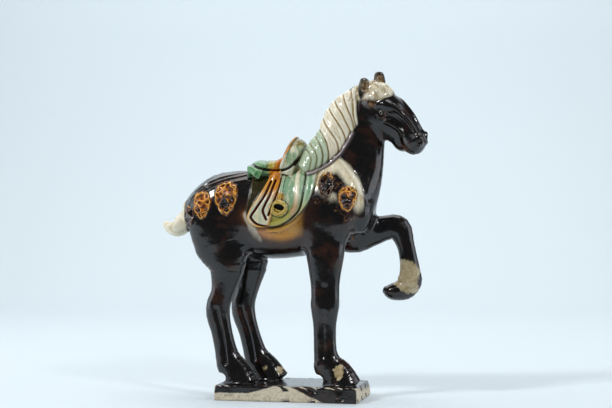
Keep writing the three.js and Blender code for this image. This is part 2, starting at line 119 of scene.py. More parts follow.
class Limb:
    """Rounded sections [x, y, z, wide, up, down] along a spine, closed by a dome at each end."""

    def __init__(self, stations, side=(0, 1, 0), square=2.0, dome=0.35, cuts=26, relief=None):
        t = np.linspace(0, 1, cuts + 1)
        rows = along(stations, t)
        self.spine, self.sizes = rows[:, :3], rows[:, 3:6]
        ahead = along(stations, t + 0.01)[:, :3] - along(stations, t - 0.01)[:, :3]
        self.ahead = ahead / np.linalg.norm(ahead, axis=1)[:, None]
        side = np.asarray(side, float)
        across = side - self.ahead * (self.ahead @ side)[:, None]
        self.across = across / np.linalg.norm(across, axis=1)[:, None]
        self.up = np.cross(self.ahead, self.across)
        self.square, self.dome, self.relief = square, dome, relief
        most = self.sizes.max(axis=1)[:, None] + 2
        self.low, self.high = (self.spine - most).min(axis=0), (self.spine + most).max(axis=0)

    def distance(self, points):
        best = np.full(len(points), 1e9, np.float32)
        place = np.zeros(len(points), np.float32)
        for i, (a, b) in enumerate(zip(self.spine, self.spine[1:])):
            a32, span = a.astype(np.float32), (b - a).astype(np.float32)
            rel = points - a32
            f = np.clip(rel @ span / float(span @ span), 0, 1)
            off = rel - f[:, None] * span
            gap = np.einsum("ij,ij->i", off, off)
            nearer = gap < best
            best[nearer] = gap[nearer]
            place[nearer] = i + f[nearer]
        i = np.minimum(place.astype(int), len(self.spine) - 2)
        f = (place - i)[:, None]

        def mix(rows):
            rows = rows.astype(np.float32)
            return rows[i] * (1 - f) + rows[i + 1] * f

        rel = points - mix(self.spine)
        x = np.einsum("ij,ij->i", rel, mix(self.across))
        y = np.einsum("ij,ij->i", rel, mix(self.up))
        beyond = np.einsum("ij,ij->i", rel, mix(self.ahead))
        ends = (place <= 0) | (place >= len(self.spine) - 1)
        wide, up, down = mix(self.sizes).T
        tall = np.where(y > 0, up, down)
        long = np.maximum(self.dome * np.minimum(wide, tall), 0.3)
        n = self.square
        shares = [np.abs(x) / wide, np.abs(y) / tall, np.where(ends, np.abs(beyond) / long, 0)]
        r = np.maximum(sum(s ** n for s in shares) ** (1 / n), 1e-3)
        slope = np.sqrt(sum((s ** (n - 1) / size) ** 2 for s, size in zip(shares, (wide, tall, long))))
        gap = (r - 1) / np.maximum(r ** (1 - n) * slope, 1e-4)
        if self.relief:
            t = place / (len(self.spine) - 1)
            gap = gap - self.relief(t, y / np.maximum(np.hypot(x, y), 1e-3), points)
        return gap


class Ball:
    """An ellipsoid, turned by a matrix where one is given."""

    def __init__(self, at, sizes, turn=None):
        self.at, self.sizes = np.array(at, np.float32), np.array(sizes, np.float32)
        self.turn = None if turn is None else np.asarray(turn, np.float32)
        most = self.sizes.max() + 2
        self.low, self.high = self.at - most, self.at + most

    def distance(self, points):
        rel = points - self.at
        if self.turn is not None:
            rel = rel @ self.turn
        near = np.linalg.norm(rel / self.sizes, axis=1)
        steep = np.linalg.norm(rel / self.sizes ** 2, axis=1)
        return near * (near - 1) / np.maximum(steep, 1e-4)


class Group:
    """Forms joined or cut in the order given; a form that is cut away has a negative blend."""

    def __init__(self, forms, at=None, turn=None, relief=None):
        self.forms, self.at, self.turn, self.relief = forms, at, turn, relief
        corners = np.array([
            np.min([f.low for f, _ in forms], axis=0),
            np.max([f.high for f, _ in forms], axis=0),
        ])
        if turn is not None:
            box = np.array([[corners[a][0], corners[b][1], corners[c][2]]
                            for a in (0, 1) for b in (0, 1) for c in (0, 1)])
            box = box @ turn.T + at
            corners = np.array([box.min(axis=0), box.max(axis=0)])
        self.low, self.high = corners

    def distance(self, points, reach=6.0):
        if self.turn is not None:
            points = ((points - self.at) @ self.turn).astype(np.float32)
        gap = np.full(len(points), 60, np.float32)
        for form, blend in self.forms:
            inside = ((points > form.low - reach) & (points < form.high + reach)).all(axis=1)
            if not inside.any():
                continue
            own = form.distance(points[inside]).astype(np.float32)
            if blend < 0:
                gap[inside] = -soft_min(-gap[inside], own, -blend)
            else:
                gap[inside] = soft_min(gap[inside], own, blend)
        if self.relief:
            gap = gap - self.relief(points)
        return gap


# Lines and outlines in the side view, as [x, z]

def curve(points, count=40, closed=False):
    rows = np.asarray(points + points[:1] if closed else points, float)
    return along(rows, np.linspace(0, 1, count)).astype(np.float32)


def line_gap(x, z, line):
    """Distance from each place of the side view to a line."""
    best = np.full(len(x), 1e9, np.float32)
    for (ax, az), (bx, bz) in zip(line, line[1:]):
        dx, dz = bx - ax, bz - az
        f = np.clip(((x - ax) * dx + (z - az) * dz) / max(dx * dx + dz * dz, 1e-6), 0, 1)
        best = np.minimum(best, (x - ax - f * dx) ** 2 + (z - az - f * dz) ** 2)
    return np.sqrt(best)


def outline_gap(x, z, line):
    """The same to an outline, negative inside it."""
    inside = np.zeros(len(x), bool)
    for (ax, az), (bx, bz) in zip(line, np.roll(line, -1, axis=0)):
        if az == bz:
            continue
        crosses = (az > z) != (bz > z)
        inside ^= crosses & (x < (bx - ax) * (z - az) / (bz - az) + ax)
    closed = np.vstack([line, line[:1]])
    return np.where(inside, -1, 1) * line_gap(x, z, closed)


# Body and legs. Each row is x, z, wide, up, down.

HIND_HOLLOW = [[-66.5, 68], [-65.2, 60], [-62.6, 50], [-60.2, 39], [-58.6, 28], [-57.6, 19]]


def in_plane(rows, y=0.0):
    """Rows of the side view set at one distance out, or at one that changes with the height."""
    return [[row[0], y(row[1]) if callable(y) else y, *row[1:]] for row in rows]


TORSO = [
    [-101, 158, 11, 10, 12], [-94, 158, 20, 18.5, 20], [-84, 158, 27, 27, 26], [-70, 158, 31.5, 34.5, 30],
    [-54, 157, 32.5, 37.5, 34], [-36, 156, 31.5, 38, 40], [-16, 155, 31, 37, 41.5], [4, 156, 30.5, 38, 40.5],
    [24, 159, 30, 38, 38.5], [42, 162, 28, 35, 33], [56, 163, 24.5, 28, 29], [66, 162, 17, 18, 20],
]
NECK = [
    [38, 160, 25, 26, 33], [47, 180, 22, 31, 33], [53, 200, 18.5, 31, 31], [58, 220, 15.5, 28, 27],
    [61, 240, 13, 25, 23], [63, 256, 11.5, 19, 16], [66, 267, 9, 11, 10],
]
HIND_LEG = [
    [-66, 166, 6, 15, 15], [-66, 150, 16, 23, 23], [-65, 132, 16, 26, 26], [-60.5, 117, 13, 22.5, 22.5],
    [-58.5, 105, 11.5, 17, 17], [-60, 94, 9.5, 13.3, 13.3], [-62.5, 82.5, 8.3, 10.8, 10.8],
    [-66, 72, 8.3, 11, 11.2], [-66.5, 62, 8, 10.8, 11.2], [-63.5, 48, 6.8, 9.8, 9.8],
    [-60.2, 34, 6.8, 10, 10], [-57, 22, 7.8, 11.5, 11.8], [-51.5, 12, 9, 14.5, 14.5],
    [-47, 5, 11, 15.5, 15], [-45, 0, 12.5, 17.5, 16],
]
FORE_LEG = [
    [38, 168, 5, 12, 12], [36, 151, 13.5, 18.5, 18.5], [33.5, 136, 13, 19, 19],
    [33.2, 120, 11.2, 18, 17.6], [33.3, 106, 10, 15.6, 15.4], [33.3, 92, 9, 13.3, 13.3],
    [33.2, 80, 9.2, 13, 12.8], [33.2, 71, 8.8, 13, 13.2], [32.8, 56, 7, 10.7, 10.7],
    [33.2, 41, 6.8, 10.2, 10.2], [33.8, 28, 7.2, 10.8, 10.8], [37, 18, 8.2, 13, 13.4],
    [43.5, 10.5, 9, 15, 15.6], [47.5, 5, 11, 15.5, 15], [49.5, 0, 12.5, 17, 16.5],
]
RAISED_LEG = [
    [40, 137, 13, 19, 17], [56, 134, 11.5, 14, 15], [70, 137.5, 10, 12.2, 12.6], [84, 142, 9, 11.4, 11.2],
    [95, 140.5, 8.8, 12, 10.5], [101.5, 127, 6.8, 8.4, 8.2], [104.3, 114, 6.6, 8.2, 8.3],
    [105.8, 103, 7.6, 9.4, 9.4], [105.5, 94, 8.6, 11.4, 11.2], [101, 87, 9.4, 10.6, 10],
    [94, 84.3, 10.6, 9.2, 8.6], [87, 84.3, 10, 7.4, 6.6], [82, 85.6, 6, 3.6, 3],
]
# The hollows beside the tendons: line, depth, width and side.
LEG_HOLLOWS = [
    (curve(HIND_HOLLOW, 12), 2.0, 2.0, RIGHT),
    (curve([[x + HIND_STEP - HIND_STEP_FADE * z, z] for x, z in HIND_HOLLOW], 12), 1.8, 2.0, LEFT),
    (curve([[33.5, 66], [32.6, 54], [32.8, 40], [33.0, 27]], 10), 1.4, 2.6, RIGHT),
    (curve([[34.2, 87], [34.4, 80], [34.0, 73]], 6), 1.1, 4.4, RIGHT),
]
# The rounded back of each fetlock that stands, and the notch between it and the heel.
FETLOCKS = [(-61.5, RIGHT), (-42.5, LEFT), (28.6, RIGHT)]
FETLOCK_HEIGHT, FETLOCK_SIZE, FETLOCK_BLEND = 17.0, (5.2, 5.6, 7.0), 2.5
HEEL_BACK, HEEL_HEIGHT, HEEL_NOTCH = 1.2, 5.2, (5.0, 16, 4.2)
# Haunch, shoulder and chest lobe on each side: place, half sizes and how softly they join.
MUSCLES = [
    ((-70, 20, 152), (24, 12, 27), 10),
    ((41, 19, 158), (19, 10, 25), 10),
    ((62, 9, 155), (12, 11, 17), 6),
]
TAIL = [
    [-94, 156, 7, 9, 9], [-104, 147, 7, 9.5, 9], [-111, 142, 6.8, 8.6, 7.6], [-118, 142.5, 5.4, 6, 4.6],
    [-123.5, 146.5, 2.6, 2.4, 2],
]


def lean_in(out, side):
    """A standing leg keeps its plane below the body and leans in to it above."""
    return lambda z: side * (out - 4 * float(smoothstep(118, 150, z)))


def hind_leg(side):
    """The left hind leg is the right one a step ahead, and the step closes towards the haunch."""
    ahead = HIND_STEP if side == LEFT else 0
    fade = HIND_STEP_FADE if side == LEFT else 0
    rows = [[x + ahead - fade * z, z, *sizes] for x, z, *sizes in HIND_LEG]
    return Limb(in_plane(rows, lean_in(LEG_OUT, side)), cuts=30)


def body_forms():
    tail = Limb(in_plane(TAIL), cuts=16, relief=lambda t, s, p: 0.28 * np.cos(2.2 * p[:, 1] + 5 * t) * t)
    forms = [
        (Limb(in_plane(TORSO), square=2.15, dome=0.3, cuts=24), 0),
        (Limb(in_plane(NECK), cuts=16), 14),
        (tail, 3),
    ]
    for side in (RIGHT, LEFT):
        forms.append((hind_leg(side), LEG_BLEND))
        for (x, y, z), sizes, blend in MUSCLES:
            forms.append((Ball((x, y * side, z), sizes), blend))
    forms.append((Limb(in_plane(FORE_LEG, lean_in(LEG_OUT, RIGHT)), cuts=30), LEG_BLEND))
    forms.append((Limb(in_plane(RAISED_LEG, RAISED_OUT), cuts=34), LEG_BLEND))
    for x, side in FETLOCKS:
        forms.append((Ball((x, side * LEG_OUT, FETLOCK_HEIGHT), FETLOCK_SIZE), FETLOCK_BLEND))
        forms.append((Ball((x - HEEL_BACK, side * LEG_OUT, HEEL_HEIGHT), HEEL_NOTCH), -FETLOCK_BLEND))
    return forms


def leg_relief(points):
    """Hollows beside the tendons, as lines of the side view on each face of a leg."""
    x, y, z = points.T
    height = np.zeros(len(points), np.float32)
    low = z < 100
    for line, depth, width, side in LEG_HOLLOWS:
        near = low & (y * side > 0)
        if near.any():
            gap = line_gap(x[near], z[near], line)
            height[near] -= depth * bell(gap, width)
    return height


# Head, in its own frame: along it, out of its side, and up through its forehead.

HEAD = [
    [-8, 9, 8, 18, 5], [0, 8, 11.5, 23, 13], [8, 7.5, 12.8, 23.8, 21.5], [16, 7.5, 12.6, 22.8, 22.5],
    [25, 8, 11.2, 22.2, 19], [34, 8.5, 9.0, 18.8, 15.7], [43, 9, 8.0, 16.4, 14.5], [51, 9.5, 8.0, 13.9, 13],
    [58, 10, 8.4, 10, 10.5], [63, 10, 7.2, 6.5, 8],
]
FACE_RIDGE = [
    [12.5, 11.2, 18.8], [16.5, 11.0, 22.8], [22.3, 9.6, 25.6], [28.5, 8.0, 26.4], [36.7, 6.6, 26.0],
    [45.2, 5.4, 24.2], [57, 4.7, 19.8],
]
FACE_RIDGE_ROUND = [1.6, 2.3, 2.4, 2.2, 2.0, 1.8, 1.6]
UPPER_LID = [[13.6, 11.7, 15.4], [16.2, 12.0, 18.2], [20.0, 11.9, 19.0], [24.4, 10.9, 16.6]]
LOWER_LID = [[14.2, 12.0, 13.4], [17.6, 12.5, 11.4], [21.6, 12.0, 11.6], [24.6, 11.0, 13.8]]
CHEEK_LINE = [[27, 11.0, 11.5], [34, 9.4, 13.0], [41, 8.2, 13.4], [45.5, 8.0, 11.6]]
CHEEK_LINE_ROUND, UPPER_LID_ROUND, LOWER_LID_ROUND = 1.7, 1.15, 0.9
EYE_AT = [19.2, 10.9, 15.0]
# The ears were pinched up by hand and differ: root, tip, half width and the way each opens.
EARS = {
    RIGHT: ([67.5, -15.5, 262.0], [69.0, -16.0, 274.0], 5.4, [0.5, -0.86, 0]),
    LEFT: ([80.5, 1.5, 266.0], [79.4, 2.5, 281.0], 5.6, [0.25, -0.96, 0.1]),
}
EAR_THICK = 2.3
EAR_HOLLOW_OUT, EAR_HOLLOW_ACROSS = 2.3, 0.5
EAR_HOLLOW_HALF, EAR_HOLLOW_THICK = 0.58, 2.1
MOUTH = [[66, 0, 2.2], [58, 0, 2.4], [51.5, 0, 4.6], [46.5, 0, 8.0]]


def turned(x=0.0, y=0.0, z=0.0):
    """Rotation about x, then y, then z."""
    cx, sx, cy, sy, cz, sz = (f(a) for a in (x, y, z) for f in (math.cos, math.sin))
    about_x = np.array([[1, 0, 0], [0, cx, -sx], [0, sx, cx]])
    about_y = np.array([[cy, 0, sy], [0, 1, 0], [-sy, 0, cy]])
    about_z = np.array([[cz, -sz, 0], [sz, cz, 0], [0, 0, 1]])
    return about_z @ about_y @ about_x


HEAD_TURNED = turned(HEAD_LEAN, HEAD_DOWN, -HEAD_TURN)


def ear(side):
    """A blunt leaf that opens one way, with a rolled edge round its hollow."""
    root, tip, half, opens = EARS[side]
    root, tip, opens = (np.array(v, float) for v in (root, tip, opens))
    across = np.cross(tip - root, opens)
    across /= np.linalg.norm(across)
    leaf, hollow = [], []
    for q in np.linspace(0, 1, 8):
        full = math.sin(math.pi * (0.26 + 0.48 * q)) ** 0.7
        at = root + (tip - root) * q
        leaf.append([*at, half * full, EAR_THICK * full, EAR_THICK * full])
        if 0.35 < q < 0.95:
            middle = at + EAR_HOLLOW_OUT * opens + EAR_HOLLOW_ACROSS * across
            hollow.append([*middle, EAR_HOLLOW_HALF * half * full, *[EAR_HOLLOW_THICK * full] * 2])
    return [
        (Limb(leaf, side=across, dome=1.9, cuts=12), 0),
        (Limb(hollow, side=across, dome=1, cuts=8), -1.2),
    ]


def head_forms():
    def mirrored(rows, side, thick):
        """A ridge of the face as a round limb, on one side."""
        thick = thick if isinstance(thick, list) else [thick] * len(rows)
        return [[x, side * y, z, r, r, r] for (x, y, z), r in zip(rows, thick)]

    forms = [(Limb(in_plane(HEAD), square=2.3, cuts=36), 0)]
    for side in (RIGHT, LEFT):
        eye_x, eye_y, eye_z = EYE_AT
        forms += [
            (Ball((10.5, 7.2 * side, 1), (15, 6.6, 14.5)), 5),  # jaw
            (Ball((5, 8.6 * side, 16), (7, 4.8, 7)), 4),  # temple
            (Ball((19, 7.6 * side, 20.5), (9, 5.2, 6.6)), 4),  # brow
            (Limb(mirrored(FACE_RIDGE, side, FACE_RIDGE_ROUND), cuts=18), 3.0),
            (Ball((39, 12.0 * side, 18.6), (15, 5.0, 4.8)), -3.5),  # hollow below the ridge
            (Limb(mirrored(CHEEK_LINE, side, CHEEK_LINE_ROUND), cuts=12), 3.0),
            (Ball((20.4, 13.6 * side, 15.0), (6.0, 2.6, 4.0)), -2.0),  # eye socket
            (Limb(mirrored(UPPER_LID, side, UPPER_LID_ROUND), cuts=10), 1.2),
            (Limb(mirrored(LOWER_LID, side, LOWER_LID_ROUND), cuts=10), 1.2),
            (Ball((eye_x, eye_y * side, eye_z), (2.7, 2.0, 2.3)), 0.2),  # eyeball
            (Ball((60.5, 5.8 * side, 16.5), (5.6, 4.0, 5.8)), 2.5),  # wing of the nostril
            (Ball((63.4, 8.4 * side, 16.6), (2.6, 2.6, 3.4)), -1.2),  # nostril
        ]
    forms += [
        (Ball((57.5, 0, 9.0), (10.0, 9.3, 11.0)), 3.5),  # muzzle
        (Ball((48.0, 0, -0.2), (8.0, 7.4, 6.8)), 2.5),  # chin
        (Limb([[x, 0, z, 12, 0.75, 0.75] for x, _, z in MOUTH], square=2.6, cuts=12), -1.4),
    ]
    return forms


def forelock_edge(points):
    """Distance in the head's frame to the edge of the forelock, which lies forward over the brow."""
    x, y, z = points.T
    hem = (13.4 + 0.95 * x - z + 0.7 * np.sin(x * 0.4)) / 1.38
    front = x - 15.2 + 0.012 * y * y + 0.7 * np.sin(y * 0.5)
    return soft_max(soft_max(hem, front, 4.0), -13 - x, 2.0)


def forelock_relief(points):
    """A thick lock with strands that sweep from between the ears forward and down over the brow."""
    x, y, z = points.T
    within = smoothstep(0.8, -2.6, forelock_edge(points))
    sweep = 0.95 * y + 0.3 * z + 1.1 * np.sin(x * 0.16 + 0.3)
    strands = 0.30 * np.cos(sweep) + 0.08 * np.cos(2.7 * sweep + 0.4 * x)
    return within * (1.4 + strands)


# Mane: one thick fall from the crest to its hem on both sides, combed into wavy locks.

CREST = [[64, 274], [48, 267], [36, 252], [27, 234], [17, 221], [6, 202]]
HEM = [[68, 258], [66.5, 234], [59.5, 218.5], [50.5, 207.5], [39, 198.5], [27, 189]]
MANE_OUT = [11, 13.5, 16, 18.5, 21.5, 24]
LOCK_DEPTH = 1.8
LOCK_HALF = 3.4
MANE_SUNK = 5.0  # how far the fall lies under the hide outside its area
# The grooves between the locks in the side view, from the crest to the hem, the last ones round the withers.
MANE_GROOVES = [
    [[59, 278], [61.2, 270], [62.4, 257], [62.3, 249], [63.4, 240], [65.5, 230]],
    [[52, 276], [54.8, 268], [57.6, 257.3], [58.3, 249], [59.3, 240], [62.5, 228]],
    [[45, 271], [47.8, 263], [51.4, 254], [54.7, 246.3], [58, 238], [60.5, 226]],
    [[37.5, 262], [42.2, 254], [48, 245.5], [51.6, 238.1], [55.6, 229.8], [56.4, 219]],
    [[32, 255], [37.4, 247], [43.8, 238.2], [48.8, 230], [51.6, 222.6], [51.6, 213]],
    [[28, 245], [32.4, 236.5], [39.2, 227.6], [43.9, 220], [45.4, 212.6], [43.8, 203]],
    [[22, 236], [28.3, 229.6], [33.3, 222.5], [35.9, 215.5], [36.9, 208.1], [35.2, 197]],
    [[16, 231], [24.6, 223.4], [29.4, 217], [31.5, 210.5], [31.7, 204.4], [29, 194]],
    [[10, 222.5], [18.5, 218.2], [24, 213], [26.4, 207], [26.4, 202], [24, 192]],
    [[8, 215], [15, 213.2], [19.4, 209.6], [21.4, 205], [21.2, 200.5], [18.6, 191]],
]
MANE_LINES = [curve(groove, 16) for groove in MANE_GROOVES]
# What the mane covers in the side view, down to the strap round the chest.
MANE_AREA = curve([
    [66, 275], [65.2, 262], [64.8, 248], [62.6, 236], [59.3, 229.3], [55.6, 222.6], [51.6, 216.2],
    [47.8, 210.4], [42.6, 205.5], [37.2, 201], [30.2, 196.6], [23.6, 193], [10, 188], [-8, 200], [8, 238],
    [35, 272], [55, 288],
], 72, closed=True)


def mane_gap(x, z):
    """Distance in the side view to the nearest groove between locks."""
    return np.min([line_gap(x, z, line) for line in MANE_LINES], axis=0)


def mane_locks(t, sine, points):
    """Rounded locks between the grooves, each lightly combed."""
    x, y, z = points.T
    gap = mane_gap(x, z)
    lock = 0.45 * (1 - bell(gap, 1.1)) + 0.55 * np.sin(np.pi / 2 * np.clip(gap / LOCK_HALF, 0, 1))
    wavy = gap + 0.5 * np.sin(z / 5.3) + 0.3 * np.sin(x / 2.9)
    strands = 0.16 * np.cos(2 * np.pi * wavy / 2.1) * smoothstep(0.8, 1.8, gap)
    full = (0.35 + 0.65 * smoothstep(2, 9, np.abs(y))) * (0.45 + 0.55 * smoothstep(22, 34, x))
    past = smoothstep(-0.6, 2.4, outline_gap(x, z, MANE_AREA))
    return full * (LOCK_DEPTH * lock + strands) - MANE_SUNK * past


def mane_form():
    """One thick blade across the neck, as deep as from the crest to the hem."""
    rows = []
    for (cx, cz), (hx, hz), out in zip(CREST, HEM, MANE_OUT):
        half = math.hypot(hx - cx, hz - cz) / 2
        rows.append([(cx + hx) / 2, 0, (cz + hz) / 2, out, half, half])
    return Limb(rows, square=2.2, cuts=20, relief=mane_locks)


# Saddle: a rolled cantle, a dipped seat and a tall board of a pommel that leans forward.

SEAT = [
    [-38, 194, 21, 6, 8], [-31, 195.5, 21, 7.5, 10], [-23, 196, 20, 8, 10], [-14, 196, 19, 8, 10],
    [-7, 197.5, 17, 9.5, 10], [2, 199, 15.5, 12, 12], [12, 199, 14.5, 12, 12], [20, 198, 12, 10, 10],
]


def arch(foot, top, wide, thick, swell=0.8, deep=5.0, steps=8):
    """A band bent over the back from foot to foot, narrower at its feet."""
    rows = []
    for angle in np.linspace(-math.pi / 2, math.pi / 2, 2 * steps + 1):
        rise = math.cos(angle) ** swell
        x = foot[0] + (top[0] - foot[0]) * rise
        part = 0.4 + 0.6 * min(1.0, 1.6 * rise)
        z = foot[2] + (top[1] - foot[2]) * rise
        rows.append([x, foot[1] * math.sin(angle), z, thick, wide * part, (wide + deep) * part])
    return rows


# The groove that runs from the cantle under the seat and up in front of the pommel.
SADDLE_GROOVE = curve([
    [-38.5, 201.8], [-34.7, 200], [-30.9, 198.1], [-26.2, 196.3], [-21.5, 195.1], [-16.8, 194.6],
    [-10.8, 194.4], [-4.3, 194.8], [1.3, 197.0], [6, 202.0], [10.2, 207.5], [13.4, 213], [14.6, 219.5],
    [14.6, 226],
], 30)


def saddle_groove(points):
    """The groove, and faint folds across the seat above it."""
    gap = line_gap(points[:, 0], points[:, 2], SADDLE_GROOVE)
    seat_middle = bell(points[:, 0] + 15, 8) * smoothstep(194.5, 197, points[:, 2])
    folds = seat_middle * 0.2 * np.cos(points[:, 0] * 1.7)
    return (folds - 2.0 * bell(gap, 1.15)) * smoothstep(5, 9, np.abs(points[:, 1]))


def saddle_forms():
    lean = (1, 0, -0.75)
    board = arch((-3.0, 18.4, 191.0), (5.2, 216.4), 3.2, 5.8, deep=4.0)
    rim = arch((-9.0, 20.0, 188.0), (0.0, 220.0), 2.0, 2.1)
    cantle = arch((-25.0, 21.0, 194.5), (-31.5, 199.4), 2.7, 6.2, swell=0.9, deep=2)
    skirt = arch((-25.0, 23.6, 191.4), (-34.5, 195.4), 2.2, 5.2, swell=0.7, deep=1)
    return [
        (Limb(in_plane(SEAT), square=2.6, dome=0.2, cuts=16), 0),
        (Limb(board, side=lean, square=2.8, dome=0.2, cuts=26), 2.0),
        (Limb(rim, side=lean, cuts=26), 1.5),
        (Limb(skirt, side=(1, 0, 0.1), square=2.3, cuts=22), 2.5),
        (Limb(cantle, side=(1, 0, 0.4), square=2.3, cuts=22), 1.5),
    ]


# Low relief on the flanks, drawn in the side view and laid on both sides.

CLOTH = curve([
    [15, 210], [27, 207], [27.2, 197.5], [26.5, 187.6], [25.6, 178.7], [22.2, 168.6], [17.6, 160.8],
    [10.1, 152.9], [3.8, 147.8], [-4.3, 144.4], [-13.5, 142.5], [-22.8, 142], [-29.5, 143.2], [-34.8, 147.5],
    [-35.8, 153.5], [-31, 163], [-25.1, 172], [-19.3, 184.4], [-17.5, 193], [-12, 202], [0, 208],
], 72, closed=True)
BLANKET = curve([
    [-20, 204], [-34.5, 199], [-33.6, 184.5], [-34.2, 172], [-37, 158], [-35.5, 149], [-28, 143], [-15, 150],
    [-8, 170],
], 40, closed=True)
FAN = curve([
    [-17.6, 191], [-19.3, 184.4], [-25.1, 172], [-31, 163], [-35.4, 153.5], [-34.4, 147.5], [-28.6, 143.6],
    [-17, 143.4], [-13.4, 150], [-11, 161], [-7.6, 172], [-5.4, 186], [-8, 193], [-13, 195],
], 50, closed=True)
PLEAT_GROOVES = [
    curve([
        [-15.3, 184], [-19.3, 172], [-26.3, 160.7], [-31.2, 153.6], [-31.0, 150.2],
        [-25.1, 145.2], [-15, 143.4],
    ]),
    curve([[-11.2, 185], [-14.7, 172], [-18.8, 163], [-20.6, 157.4], [-17.6, 150]], 24),
    curve([[-5.6, 187.8], [-6.9, 178.8], [-9.5, 169.5], [-12.4, 161.9], [-15.4, 154]], 24),
]
# The cut line inside the cloth's border, and the pale stripe between it and the stirrup leather.
CLOTH_LINE = curve([
    [-31.9, 151.5], [-31.2, 148.2], [-28.3, 145.2], [-23.4, 143.3], [-10.9, 142.9], [-1.2, 146.2],
    [7.4, 152.8], [13.1, 160.3], [15.5, 172.5], [16.5, 186.5], [15.1, 197],
], 40)
STRIPE = curve([[8.8, 194], [9.3, 182], [9.8, 172.5], [9.3, 163], [6.0, 155.6]], 16)
KNOT_AT, KNOT_PROUD, KNOT_ROUND = (-12.4, 191.5), 2.6, 4.2
STIRRUP_AT, STIRRUP_RING, STIRRUP_WIRE = (-6.2, 160.0), 5.6, 2.1
STIRRUP_EYE, STIRRUP_EYE_SIZE, STIRRUP_EYE_TILT = (-5.7, 161.0), (4.7, 2.6), math.radians(14)
STIRRUP_LEATHER = curve([[-4.6, 189], [-5.0, 178], [-6.0, 167]], 8)
CRUPPER = [
    curve([[-92.3, 168.5], [-78, 178.6], [-61.9, 185.8], [-39.3, 191.2]], 16),
    curve([[-91.7, 165.7], [-77.5, 174], [-61.4, 181.2], [-38.8, 186.6]], 16),
    curve([[-87.7, 175.9], [-74.4, 184.1], [-60.2, 189.6], [-39.4, 193.6]], 16),
]
CHEST_STRAP = curve([
    [18, 191.2], [23.6, 192.7], [30.2, 196.3], [37.2, 200.8], [42.4, 205.3], [47.6, 210.2], [51.4, 216.1],
    [55.2, 222.5], [57.7, 227.5],
], 28)
COLLAR = curve([[46.4, 205.4], [53.2, 197.9], [61.2, 186.6], [65.7, 176.5], [72, 165]], 20)
CRUPPER_PROUD, CHEST_STRAP_PROUD, COLLAR_PROUD = 0.9, 1.6, 1.2
# Each pendant's middle, half width and half height, and how high up its amber starts.
PENDANTS = [
    [36.2, 180.5, 7.0, 12.2, 0.82], [55.6, 168.4, 8.0, 11.5, 0.25],
    [-55.6, 169.2, 10.2, 15.6, 0.05], [-78.2, 163, 8.8, 12.8, -0.55], [-93, 152, 7.2, 10.6, 0.9],
]
CURL = 8.6


def pendant_places(x, z, row):
    """Each place's share of the way from a pendant's middle to its edge, and of the way up it."""
    at_x, at_z, wide, tall, _ = row
    v = (z - at_z) / tall
    return np.hypot((x - at_x) / (wide * (1 + 0.22 * v)), v), v


def curls(x, z, row):
    """1 along the cords of clay that curl over a pendant, 0 in the pits between them."""
    k = 2 * np.pi / CURL
    a = x + 1.3 * np.sin(0.52 * z + row[0]) + 0.5 * np.sin(1.3 * z)
    b = z + 1.4 * np.sin(0.48 * x + row[1]) + 0.5 * np.sin(1.2 * x + 1)
    web = np.abs(np.sin(k * (0.8 * a + 0.45 * b) / 2 + row[0]) * np.sin(k * (0.8 * b - 0.5 * a) / 2))
    return 1 - web ** 0.8


def pendant_relief(x, z, row):
    """A leaf boss of curled cords round deep pits, inside an uneven rim."""
    rho, _ = pendant_places(x, z, row)
    rho = rho + 0.05 * np.sin(1.1 * x + row[0]) + 0.04 * np.sin(0.9 * z)
    within = smoothstep(1.04, 0.86, rho)
    rim = bell(rho - 0.88, 0.12)
    raised = np.maximum(curls(x, z, row), 0.75 * rim)
    return 2.2 * np.sqrt(np.clip(1 - rho ** 2, 0, None)) + within * (3.4 * raised - 2.2)


def pleat_gap(x, z):
    """Distance in the side view to the nearest cut between pleats."""
    return np.min([line_gap(x, z, line) for line in PLEAT_GROOVES], axis=0)


def cloth_relief(x, z):
    """The blanket, the cloth over it with a cut line inside its border, and the pleats at its back."""
    gap = outline_gap(x, z, CLOTH)
    within = -gap
    height = 1.3 * smoothstep(0.6, -0.9, outline_gap(x, z, BLANKET))
    height = np.maximum(height, 2.4 * smoothstep(0.9, -1.3, gap))
    line = line_gap(x, z, CLOTH_LINE)
    height += smoothstep(-24, -14, x) * (0.7 * bell(line - 3.4, 1.8) - 1.5 * bell(line, 1.0))
    height += 0.7 * bell(line_gap(x, z, STRIPE), 2.0) * smoothstep(0, 2, within)
    fan = smoothstep(0.8, -1.4, outline_gap(x, z, FAN))
    return height + fan * (1.5 - 2.6 * bell(pleat_gap(x, z), 1.05))


def stirrup_places(x, z):
    """Shares of the way out to the ring's middle, and to the edge of the slot that the foot goes through."""
    ring = np.hypot((x - STIRRUP_AT[0]) / 1.12, z - STIRRUP_AT[1])
    dx, dz = x - STIRRUP_EYE[0], z - STIRRUP_EYE[1]
    cos, sin = math.cos(STIRRUP_EYE_TILT), math.sin(STIRRUP_EYE_TILT)
    slot = np.hypot((dx * cos - dz * sin) / STIRRUP_EYE_SIZE[0], (dx * sin + dz * cos) / STIRRUP_EYE_SIZE[1])
    return ring, slot


def stirrup_relief(x, z):
    """A ring pressed on the cloth, dished inside, with its slot and the leather above."""
    ring, slot = stirrup_places(x, z)
    band = np.sqrt(np.clip(1 - ((ring - STIRRUP_RING) / STIRRUP_WIRE) ** 2, 0, None))
    leather = smoothstep(1.9, 1.0, line_gap(x, z, STIRRUP_LEATHER)) * smoothstep(166, 168, z)
    return 2.0 * band + 1.2 * smoothstep(7.2, 5.0, ring) - 3.4 * smoothstep(1.25, 0.7, slot) + 0.9 * leather


